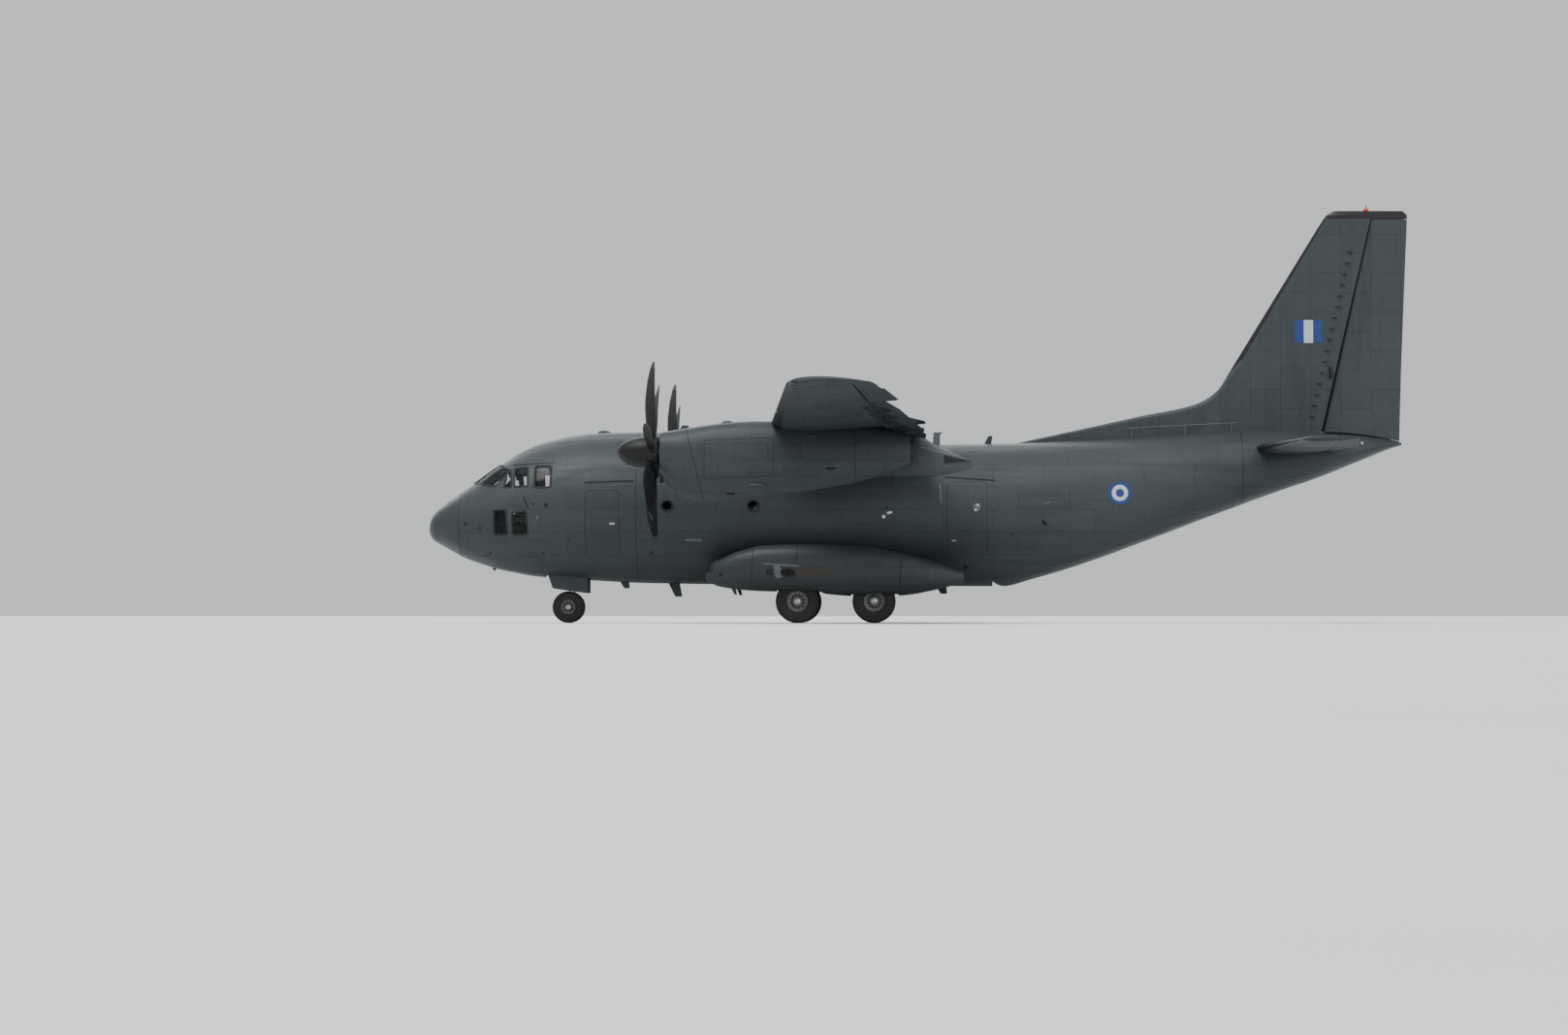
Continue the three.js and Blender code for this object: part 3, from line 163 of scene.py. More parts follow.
# Blade sections: radius, chord, thickness, sweep behind the blade's axis and pitch from the disc
BLADE = np.array((
    (0.09, 0.13, 0.11, 0, 62), (0.38, 0.19, 0.075, -0.005, 58), (0.7, 0.3, 0.048, -0.03, 50),
    (1.1, 0.365, 0.034, -0.045, 41), (1.5, 0.345, 0.024, -0.015, 34), (1.85, 0.25, 0.015, 0.07, 29),
    (2.03, 0.13, 0.009, 0.145, 27), (2.075, 0.06, 0.006, 0.18, 26),
))

# Undercarriage
MAIN_WHEELS = (("front", 8.6), ("rear", 10.35))
MAIN_Y, MAIN_Z = 1.835, -1.735
LEG_Y = 1.5
NOSE_X0, NOSE_Y, NOSE_Z = 3.25, 0.2, -1.862
MAIN_TYRE = {"r": 0.495, "width": 0.33, "bead": 0.235}
NOSE_TYRE = {"r": 0.368, "width": 0.26, "bead": 0.16}
POD = np.array((
    (6.5, -0.96, -1.23, 1.33, 1.7), (6.75, -0.81, -1.38, 1.28, 1.98), (7.25, -0.59, -1.46, 1.255, 2.19),
    (7.8, -0.46, -1.49, 1.25, 2.28), (8.7, -0.43, -1.51, 1.25, 2.3), (9.9, -0.45, -1.6, 1.25, 2.3),
    (10.9, -0.61, -1.59, 1.25, 2.28), (11.9, -0.88, -1.43, 1.28, 2.13), (12.4, -1.08, -1.29, 1.35, 1.95),
))
PARTITION_X = 3.52  # the wall behind the flight deck
FLOOR_Z = -0.7
FLASH_STRIPE = 0.213
WELL = {"half": 0.565, "inner": 1.38, "outer": 2.07, "top": -1.13}


# Curves


def joined(*values):
    """Coordinates given as arrays or plain numbers, as points."""
    return np.stack(np.broadcast_arrays(*values), -1)


def full_turn(count):
    """Turns at equal steps once round."""
    return np.linspace(0, 2 * PI, count, endpoint=False)


def smooth_through(table):
    """Smooth curves through a table's columns after the first, as one function that gives them all: cubic pieces
    whose slopes are harmonic means, so they never overshoot."""
    xs, ys = table[:, 0], table[:, 1:].T
    h = np.diff(xs)
    d = np.diff(ys) / h
    slope = np.zeros(ys.shape)
    w1, w2 = 2 * h[1:] + h[:-1], h[1:] + 2 * h[:-1]
    with np.errstate(divide="ignore", invalid="ignore"):
        mean = (w1 + w2) / (w1 / d[:, :-1] + w2 / d[:, 1:])
    slope[:, 1:-1] = np.where(d[:, :-1] * d[:, 1:] > 0, mean, 0)
    slope[:, [0, -1]] = d[:, [0, -1]]

    def value(x):
        i = np.clip(np.searchsorted(xs, x) - 1, 0, len(h) - 1)
        t = (x - xs[i]) / h[i]
        near = ys[:, i] * (1 - t) ** 2 * (1 + 2 * t) + h[i] * slope[:, i] * t * (1 - t) ** 2
        far = ys[:, i + 1] * t * t * (3 - 2 * t) - h[i] * slope[:, i + 1] * t * t * (1 - t)
        return near + far

    return value


def signed_power(value, power):
    """A power that keeps the sign, which squares off an ellipse."""
    return np.sign(value) * np.abs(value) ** power


def squarish(x, a, y, wide, z, high, power):
    """Points round a superellipse at a station, by its middle and half size across and in height."""
    across, up = (signed_power(v, 2 / power) for v in (np.cos(a), np.sin(a)))
    return joined(x, y + wide * across, z + high * up)


def upper_turn(ratio, power, side):
    """Turn at which a superellipse reaches a share of its height on one side, negative below its middle."""
    a = np.arcsin(np.clip(signed_power(ratio, power / 2), -1, 1))
    return np.where(side > 0, a, PI - a)


def lower_turn(ratio, power):
    """Turn below the middle at which a superellipse reaches a share of its half width."""
    c = signed_power(np.clip(ratio, -1, 1), power / 2)
    return np.arctan2(-np.sqrt(1 - c * c), c) % (2 * PI)


HULL_CURVES = smooth_through(FUSELAGE)


def hull_section(x):
    """Top, widest height, bottom, half width and squareness of the fuselage at a station."""
    x = np.asarray(x, float)
    top, mid, bottom, half, square = HULL_CURVES(np.maximum(x, NOSE_LENGTH))
    close = np.clip(x / NOSE_LENGTH, 0, 1) ** NOSE_POWER
    top, mid, bottom = (NOSE_TIP_Z + (v - NOSE_TIP_Z) * close for v in (top, mid, bottom))
    return top, mid, bottom, half * close, square


def hull(x, turn, inset=0):
    """The skin at a station and a turn from starboard: half an ellipse above, half a superellipse below.

    An inset keeps the same height or width on its way in where the skin faces down or up, so the walls of a hole
    in the belly stand upright.
    """
    top, mid, bottom, half, square = hull_section(x)
    up = np.sin(turn) >= 0
    power = np.where(up, 1, 2 / square)
    c, s = np.cos(turn), np.sin(turn)
    if inset:
        grow = (half / (half - inset)) ** (1 / power)
        share = np.clip((0.93 - np.abs(c)) / 0.18, 0, 1)
        c = np.clip(c * (1 + (grow - 1) * share), -1, 1)
        s = np.where(up, 1, -1) * np.sqrt(1 - c * c)
    height = np.where(up, top - mid, mid - bottom) - inset
    z = mid + height * signed_power(s, power)
    y = (half - inset) * signed_power(c, power)
    return joined(x, y, z)


def unit(v):
    """Vectors brought to length one."""
    v = np.asarray(v, float)
    return v / np.linalg.norm(v, axis=-1, keepdims=True)


def normal_of(shape, x, turn):
    """Outward normal of a skin that is a function of station and turn, from two small steps on it."""
    along = shape(x + 0.004, turn) - shape(x - 0.004, turn)
    around = shape(x, turn + 0.004) - shape(x, turn - 0.004)
    return unit(np.cross(around, along))


def turn_on_side(x, z, side):
    """The turn at which the skin has a height, to port for side -1 and to starboard for 1."""
    top, mid, bottom, _, square = hull_section(x)
    up = z >= mid
    ratio = np.clip(np.where(up, (z - mid) / (top - mid), (mid - z) / (mid - bottom)), 0, 1)
    angle = np.arcsin(ratio ** np.where(up, 1, square / 2))
    if side < 0:
        return np.where(up, PI - angle, PI + angle)
    return np.where(up, 2 * PI + angle, 2 * PI - angle)


def turn_below(x, y):
    """The turn at which the belly has a distance from the centre plane."""
    _, _, _, half, square = hull_section(x)
    return lower_turn(y / half, square)


def turn_ahead(y, z):
    """Station and turn of the nose skin at a point seen from ahead, by halving the stations between."""
    low, high = np.full(y.shape, 0.8), np.full(y.shape, 3.2)
    for _ in range(30):
        x = (low + high) / 2
        top, mid, _, half, _ = hull_section(x)
        out, up = y / half, (z - mid) / (top - mid)
        outside = out**2 + up**2 > 1
        low, high = np.where(outside, x, low), np.where(outside, high, x)
    turn = np.arctan2(up, out)
    return x, np.where(turn < PI / 2, turn + 2 * PI, turn)


def belly(x, y):
    """Height of the belly under a point."""
    _, mid, bottom, half, square = hull_section(x)
    return mid - (mid - bottom) * (1 - np.clip(np.abs(y / half), 0, 1) ** square) ** (1 / square)


# Patches: points and the faces between them


def weld(points, faces):
    """Points at one place become one point, and faces that shrink to a line go."""
    points = np.asarray(points, float).reshape(-1, 3)
    _, first, back = np.unique(np.round(points, 5), axis=0, return_index=True, return_inverse=True)
    back = back.ravel()
    kept = []
    for face in faces:
        ring = back[list(face)]
        ring = ring[ring != np.roll(ring, 1)]
        if len(ring) > 2:
            kept.append(ring.tolist())
    return points[first], kept


def grid(rings, loop=False, caps=True):
    """Rings of equal count joined by four-sided faces, with flat caps or as a closed loop of rings."""
    rings = np.asarray(rings, float)
    m, k = rings.shape[:2]
    at = np.arange(m * k).reshape(m, k)
    if loop:
        at = np.r_[at, at[:1]]
    a, b = at[:-1], at[1:]
    quads = joined(a, np.roll(a, -1, 1), np.roll(b, -1, 1), b).reshape(-1, 4).tolist()
    if caps and not loop:
        quads += [at[0][::-1].tolist(), at[-1].tolist()]
    return weld(rings, quads)


def shell(outer, inner, faces):
    """Two sheets with the same faces, closed by walls along every free edge."""
    _, first, back = np.unique(np.round(outer, 5), axis=0, return_index=True, return_inverse=True)
    tris = back.ravel()[np.asarray(faces)]
    tris = tris[(tris[:, 0] != tris[:, 1]) & (tris[:, 1] != tris[:, 2]) & (tris[:, 2] != tris[:, 0])]
    outer, inner, n = outer[first], inner[first], len(first)
    edges = np.r_[tris[:, [0, 1]], tris[:, [1, 2]], tris[:, [2, 0]]]
    free = edges[~np.isin(edges[:, 0] * n + edges[:, 1], edges[:, 1] * n + edges[:, 0])]
    walls = joined(free[:, 1], free[:, 0], free[:, 0] + n, free[:, 1] + n)
    marks = [0] * len(tris) + [1] * len(tris) + [0] * len(walls)
    return np.r_[outer, inner], tris.tolist() + (tris[:, ::-1] + n).tolist() + walls.tolist(), marks


def split(path, step, least=1):
    """The points of a line, with more between them so that no stretch is longer than a step, but for the last."""
    parts = []
    for p, q in zip(path[:-1], path[1:]):
        count = max(least, math.ceil(np.linalg.norm(q - p) / step))
        parts.append(p + (q - p) * np.arange(count)[:, None] / count)
    return np.concatenate(parts)


def rounded(corners, r, step=0.07):
    """An outline whose corners are quadratic curves and whose long edges are split into steps."""
    corners = np.asarray(corners, float)
    back = np.roll(corners, 1, 0) - corners
    ahead = np.roll(corners, -1, 0) - corners
    lb, la = np.linalg.norm(back, axis=1), np.linalg.norm(ahead, axis=1)
    k = np.minimum(r, 0.45 * np.minimum(lb, la))
    start = corners + back * (k / lb)[:, None]
    end = corners + ahead * (k / la)[:, None]
    t = np.linspace(0, 1, 5)[None, :, None]
    arcs = (1 - t) ** 2 * start[:, None] + 2 * t * (1 - t) * corners[:, None] + t * t * end[:, None]
    path = arcs.reshape(-1, corners.shape[1])
    return split(np.r_[path, path[:1]], step)


def circle(x, z, r, count=28):
    """Points of a circle in a plane."""
    a = full_turn(count)
    return joined(x + r * np.cos(a), z + r * np.sin(a))


def goes_round(points, outline):
    """True for each point that an outline encloses, by the edges crossed on the way out."""
    x, y = points[:, :1], points[:, 1:]
    ax, ay = outline.T
    bx, by = np.roll(outline, -1, 0).T
    crossed = (ay > y) != (by > y)
    rise = np.where(by == ay, 1, by - ay)
    return (crossed & (x < ax + (y - ay) * (bx - ax) / rise)).sum(1) % 2 == 1


def region(us, vs, holes=(), keep=None):
    """Triangles over a rectangle of two parameters: outside every hole, or only inside the kept outline."""
    u, v = np.meshgrid(us, vs, indexing="ij")
    points = joined(u.ravel(), v.ravel())
    edge = (u == us[0]) | (u == us[-1]) | (v == vs[0]) | (v == vs[-1])
    free = np.ones(len(points), bool)
    outlines = list(holes) + ([] if keep is None else [keep])
    near = 0.4 * min(np.diff(us).min(), np.diff(vs).min())
    for outline in outlines:
        free &= ((points[:, None] - outline[None]) ** 2).sum(-1).min(1) > near * near
    points = points[free | edge.ravel()]
    edges, count = [], len(points)
    for outline in outlines:
        i = np.arange(len(outline))
        edges += (joined(i, (i + 1) % len(outline)) + count).tolist()
        count += len(outline)
    points = np.concatenate([points, *outlines])
    found = delaunay_2d_cdt([Vector(p) for p in points.tolist()], edges, [], 0, 1e-7, False)
    points = np.array([tuple(p) for p in found[0]])
    faces = np.array(found[2])
    middle = points[faces].mean(1)
    good = np.ones(len(faces), bool) if keep is None else goes_round(middle, keep)
    for hole in holes:
        good &= ~goes_round(middle, hole)
    return points, faces[good]


def skin_outline(x, turn):
    """Stations and turns as an outline on the unrolled skin."""
    return joined(x, turn * SKIN_SCALE)


def seen_outline(corners, turn_of, side=1, r=None, step=0.07):
    """An outline seen from the side, its corners rounded by a radius if one is given, on the unrolled skin."""
    path = rounded(corners, r, step) if r else np.asarray(corners, float)
    return skin_outline(path[:, 0], turn_of(path[:, 0], path[:, 1], side))


def side_outline(corners, side, r=0.05):
    """A rounded outline on one side of the fuselage."""
    return seen_outline(corners, turn_on_side, side, r)


def ring_outline(x, z, r, side, count=48):
    """A circle on one side of the fuselage."""
    return seen_outline(circle(x, z, r, count), turn_on_side, side)


def front_outline(corners, side):
    """A rounded outline on the nose, seen from ahead."""
    path = rounded(corners, 0.05)
    return skin_outline(*turn_ahead(path[:, 0] * side, path[:, 1]))


def below_outline(corners, r=0.03):
    """A rounded outline on the belly, seen from below."""
    path = rounded(corners, r)
    return skin_outline(path[:, 0], turn_below(path[:, 0], path[:, 1]))


def skin_between(x0, x1, holes, step):
    """The fuselage skin between two stations with its holes, and the lining inside it."""
    us = np.linspace(x0, x1, math.ceil((x1 - x0) / step) + 1)
    points, faces = region(us, np.linspace(PI / 2, 2.5 * PI, 85) * SKIN_SCALE, holes)
    x, turn = points[:, 0], points[:, 1] / SKIN_SCALE
    return shell(hull(x, turn), hull(x, turn, WALL), faces)


def skin_patch(outline, out=0, inset=WALL, step=0.09, shape=hull):
    """The part of a skin inside an outline: a door, a pane or a marking, between two insets."""
    low, high = outline.min(0) - 0.02, outline.max(0) + 0.02
    us, vs = (np.linspace(low[i], high[i], max(3, math.ceil((high[i] - low[i]) / step))) for i in (0, 1))
    points, faces = region(us, vs, keep=outline)
    x, turn = points[:, 0], points[:, 1] / SKIN_SCALE
    normal = normal_of(shape, x, turn)
    outer = shape(x, turn) + normal * out
    inner = hull(x, turn, inset) if inset > 0.05 else shape(x, turn) - normal * inset
    return shell(outer, inner, faces)


def ovals(middle, side, up, wide, high, count):
    """Rings round a line of middles: to the side by the cosine of a turn and up by its sine."""
    a = full_turn(count)[:, None]
    wide, high = (np.reshape(v, (-1, 1, 1)) for v in (wide, high))
    return middle[:, None] + wide * np.cos(a) * side[..., None, :] + high * np.sin(a) * up[..., None, :]


def bead(path, normal, width, height, closed=True):
    """A half-oval strip along a path on a skin."""
    path = np.asarray(path, float)
    ahead, behind = np.roll(path, -1, 0), np.roll(path, 1, 0)
    if not closed:
        ahead[-1], behind[0] = path[-1], path[0]
    return grid(ovals(path, unit(np.cross(normal, ahead - behind)), normal, width / 2, height, 8), loop=closed)


def skin_bead(outline, width, height, closed=True, shape=hull):
    """A strip along an outline on a skin."""
    x, turn = outline[:, 0], outline[:, 1] / SKIN_SCALE
    return bead(shape(x, turn), normal_of(shape, x, turn), width, height, closed)


def spot_on(shape, turn_of, x, z, side):
    """A point of a skin that is seen from the side, and the normal there."""
    turn = turn_of(x, z, side)
    return shape(x, turn), normal_of(shape, x, turn)


def side_path(points, turn_of, side=1, step=0.1):
    """An open line seen from the side, as stations and turns on a skin."""
    points = np.asarray(points, float)
    return seen_outline(np.r_[split(points, step, 2), points[-1:]], turn_of, side)


def across(axis):
    """An axis and two directions square to it and to each other."""
    axis = unit(axis)
    side = unit(np.cross(axis, (0, 0, 1) if abs(axis[2]) < 0.8 else (1, 0, 0)))
    return axis, side, np.cross(side, axis)


def turned(profile, origin, axis, sides=48, loop=False):
    """A profile of distance along an axis and radius, turned round that axis."""
    along, r = np.asarray(profile, float).T
    axis, side, up = across(axis)
    return grid(ovals(np.asarray(origin) + along[:, None] * axis, side, up, r, r, sides), loop=loop)


def rod(start, end, r, sides=16, bevel=0.15):
    """A straight round bar whose two end edges are cut back."""
    start, end = np.asarray(start, float), np.asarray(end, float)
    length = np.linalg.norm(end - start)
    b = min(bevel * r, length / 4)
    profile = [(0, r - b), (b, r), (length - b, r), (length, r - b)]
    return turned(profile, start, end - start, sides)


def tube(path, r, sides=10):
    """A round section carried along a path, its radius given once or for each point."""
    path = np.asarray(path, float)
    along = unit(np.gradient(path, axis=0))
    side = unit(np.cross(along, (0.31, 0.17, 0.93)))
    return grid(ovals(path, side, np.cross(side, along), r, r, sides))


def pillow(low, high, r=0.01, steps=2):
    """A box with round edges: the eight parts of a ball, each moved out to its corner."""
    low, high = np.minimum(low, high).astype(float), np.maximum(low, high).astype(float)
    middle, half = (low + high) / 2, (high - low) / 2
    r = min(r, half.min() * 0.98)
    q = np.linspace(0, PI / 2, steps + 1)
    round_ = np.concatenate([q + k * PI / 2 for k in range(4)])
    sx, sy = np.repeat([1, -1, -1, 1], steps + 1), np.repeat([1, 1, -1, -1], steps + 1)
    up, sz = np.r_[q - PI / 2, q], np.repeat([-1, 1], steps + 1)
    x = np.cos(up)[:, None] * np.cos(round_) * r + sx * (half[0] - r)
    y = np.cos(up)[:, None] * np.sin(round_) * r + sy * (half[1] - r)
    z = (np.sin(up) * r + sz * (half[2] - r))[:, None]
    return grid(middle + joined(x, y, z))


def plate(outline, through, bevel=0.004):
    """A flat outline carried along a vector, its edges drawn in at both faces."""
    outline, through = np.asarray(outline, float), np.asarray(through, float)
    b = min(bevel, np.linalg.norm(through) / 3)
    inward, t = unit(outline.mean(0) - outline) * b, unit(through) * b
    return grid([outline + inward, outline + t, outline + through - t, outline + through + inward])


def upright(points, x):
    """Points seen from ahead, stood up at a station."""
    return joined(x, *points.T)


def moved(patch, change):
    """A patch with its points put through a function."""
    return (change(np.asarray(patch[0])), *patch[1:])


def to_side(s):
    """The function that mirrors points to port for side -1."""
    return lambda p: p * (1, s, 1)


def turned_about(points, origin, axis, angle):
    """Points turned about a line, by the rotation formula of an axis and an angle."""
    axis, p = unit(axis), points - origin
    c, s = math.cos(angle), math.sin(angle)
    return origin + p * c + np.cross(axis, p) * s + np.outer(p @ axis, axis) * (1 - c)


class Parts:
    """The patches of one piece, each put through a change if there is one, with the number of each face's finish."""

    def __init__(self, change=None):
        self.points, self.faces, self.finish, self.count, self.change = [], [], [], 0, change

    def add(self, finish, *patches, inner=None):
        """Adds patches in one finish. A patch can mark its faces: 0 for this finish, 1 for the inner one if given."""
        marked = {0: finish, 1: finish if inner is None else inner}
        for points, faces, *marks in patches:
            points = np.asarray(points, float)
            self.points.append(self.change(points) if self.change else points)
            self.faces += [[i + self.count for i in face] for face in faces]
            self.finish += [marked.get(mark, mark) for mark in marks[0]] if marks else [finish] * len(faces)
            self.count += len(points)
        return self

    def both(self, finish, *patches, inner=None):
        """Adds patches and their images on the other side of the centre plane."""
        for patch in patches:
            self.add(finish, patch, moved(patch, to_side(-1)), inner=inner)
        return self


def make_piece(name, parts, finishes, body="airframe", nodes=None, crease=32):
    """Puts a piece's patches into one mesh at the frame's origin and lets it ride on a body. Finishes and the nodes
    that it stands for are lists of words; a piece that moves stands for the node named like its body if none is
    given."""
    mesh = bpy.data.meshes.new(name)
    points = np.concatenate(parts.points) - (NOSE_X, 0, -DATUM)
    mesh.from_pydata(points.tolist(), [], parts.faces)
    mesh.polygons.foreach_set("material_index", np.array(parts.finish, np.int32))
    work = bmesh.new()
    work.from_mesh(mesh)
    bmesh.ops.recalc_face_normals(work, faces=work.faces)
    work.to_mesh(mesh)
    work.free()
    mesh.polygons.foreach_set("use_smooth", np.ones(len(mesh.polygons), bool))
    mesh.set_sharp_from_angle(angle=math.radians(crease))
    for finish in finishes.split():
        mesh.materials.append(FINISH[finish])
    mesh.update()
    piece = bpy.data.objects.new(name, mesh)
    bpy.context.scene.collection.objects.link(piece)
    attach(piece, body)
    if nodes is None and body != "airframe":
        nodes = body
    if nodes:
        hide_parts(*nodes.split())


# Finishes

FINISH = {}


def middles(points, faces):
    """The middle of each face."""
    return np.array([points[face].mean(0) for face in faces])


def new_finish(name, colour, rough, metal=0):
    """A material with its shader's plain values set. Returns its node tree and the shader's inputs."""
    material = bpy.data.materials.new(name)
    material.use_nodes = True
    tree = material.node_tree
    inputs = tree.nodes["Principled BSDF"].inputs
    inputs["Base Color"].default_value = (*colour, 1)
    inputs["Roughness"].default_value = rough
    inputs["Metallic"].default_value = metal
    inputs["Specular IOR Level"].default_value = 0.3 if rough > 0.4 else 0.5
    material.diffuse_color = (*colour, 1)
    FINISH[name] = material
    return tree, inputs


def node(tree, kind, links=(), **values):
    """A new node with its inputs set or linked by name or number."""
    made = tree.nodes.new("ShaderNode" + kind)
    for key, value in values.items():
        setattr(made, key, value)
    for key, value in dict(links).items():
        if isinstance(value, bpy.types.NodeSocket):
            tree.links.new(value, made.inputs[key])
        else:
            made.inputs[key].default_value = value
    return made


def mixed(tree, factor, a, b, blend="MIX"):
    """Two colours mixed by a factor."""
    made = node(tree, "Mix", {0: factor, 6: a, 7: b}, data_type="RGBA", blend_type=blend)
    return made.outputs[2]


def noise(tree, scale, detail=4, stretch=(1, 1, 1), rough=0.5):
    """Noise on object coordinates, stretched by a scale."""
    place = node(tree, "TexCoord").outputs["Object"]
    place = node(tree, "Mapping", {"Vector": place, "Scale": stretch}).outputs[0]
    links = {"Vector": place, "Scale": scale, "Detail": detail, "Roughness": rough}
    return node(tree, "TexNoise", links).outputs[0]


def spread(tree, value, low, high, out_low=0, out_high=1):
    """A value taken from one range to another and held at its ends."""
    links = {"Value": value, 1: low, 2: high, 3: out_low, 4: out_high}
    return node(tree, "MapRange", links).outputs[0]


def tint(colour, share):
    """A colour made darker or lighter, with full alpha."""
    return tuple(min(1, c * share) for c in colour) + (1,)


def bump(tree, height, distance, strength=0.5, **values):
    """A bump node for a height."""
    return node(tree, "Bump", {"Height": height, "Distance": distance, "Strength": strength}, **values)


def painted_skin(name, colour, axes, panel, rough=0.5, streak=(0.25, 2.5, 2.5), darker=0.5, stain=None):
    """Matt aircraft paint: panels of slightly different tint between fine joints, soft blotches and streaks of
    dirt, with a rougher surface where it is dirty and a shallow step at each joint."""
    tree, inputs = new_finish(name, colour, rough)
    place = node(tree, "TexCoord").outputs["Object"]
    split = node(tree, "SeparateXYZ", {0: place})
    flat = node(tree, "CombineXYZ", {0: split.outputs[axes[0]], 1: split.outputs[axes[1]]})
    joints = node(tree, "TexBrick", {
        "Vector": flat.outputs[0], "Color1": tint(colour, 0.93), "Color2": tint(colour, 1.07),
        "Mortar": tint(colour, 0.5), "Scale": 1, "Mortar Size": 0.006, "Mortar Smooth": 0.3,
        "Brick Width": panel[0], "Row Height": panel[1],
    })
    blotch = spread(tree, noise(tree, 0.9, 5), 0.45, 0.75, 0, 0.35)
    light = mixed(tree, blotch, joints.outputs["Color"], tint(colour, 1.35))
    dirt = spread(tree, noise(tree, 1.3, 7, streak, 0.6), 0.5, 0.8, 0, darker)
    dark = mixed(tree, dirt, light, tint(colour, 0.55))
    if stain:
        centred = node(tree, "Mapping", {"Vector": place, "Location": stain[0], "Scale": stain[1]}).outputs[0]
        ball = node(tree, "TexGradient", {"Vector": centred}, gradient_type="SPHERICAL").outputs[1]
        ragged = node(tree, "Math", {0: ball, 1: noise(tree, 7, 6)}, operation="MULTIPLY").outputs[0]
        dark = mixed(tree, spread(tree, ragged, 0.06, 0.26, 0, 0.9), dark, (0.034, 0.027, 0.018, 1))
    fine = spread(tree, noise(tree, 9, 3), 0.3, 0.7, 0.94, 1.06)
    speck = node(tree, "CombineColor", {0: fine, 1: fine, 2: fine}).outputs[0]
    tree.links.new(mixed(tree, 1, dark, speck, "MULTIPLY"), inputs["Base Color"])
    inputs["Specular IOR Level"].default_value = 0.3 if rough < 0.6 else 0.12
    tree.links.new(spread(tree, dirt, 0, darker + 0.01, rough, rough + 0.22), inputs["Roughness"])
    step = bump(tree, joints.outputs["Fac"], 0.003, invert=True)
    grain = bump(tree, noise(tree, 60, 2), 0.0006, 0.3)
    tree.links.new(step.outputs[0], grain.inputs["Normal"])
    tree.links.new(grain.outputs[0], inputs["Normal"])


def plain_finish(name, colour, rough, metal=0, scale=6, vary=0.15, depth=0.0008):
    """One colour with soft variation, a roughness that follows it and a fine grain."""
    tree, inputs = new_finish(name, colour, rough, metal)
    wave = spread(tree, noise(tree, scale, 5), 0.3, 0.72)
    base = mixed(tree, wave, tint(colour, 1 - vary), tint(colour, 1 + vary))
    tree.links.new(base, inputs["Base Color"])
    tree.links.new(spread(tree, wave, 0, 1, max(rough - 0.08, 0.03), min(rough + 0.1, 1)), inputs["Roughness"])
    tree.links.new(bump(tree, noise(tree, scale * 12, 3), depth).outputs[0], inputs["Normal"])


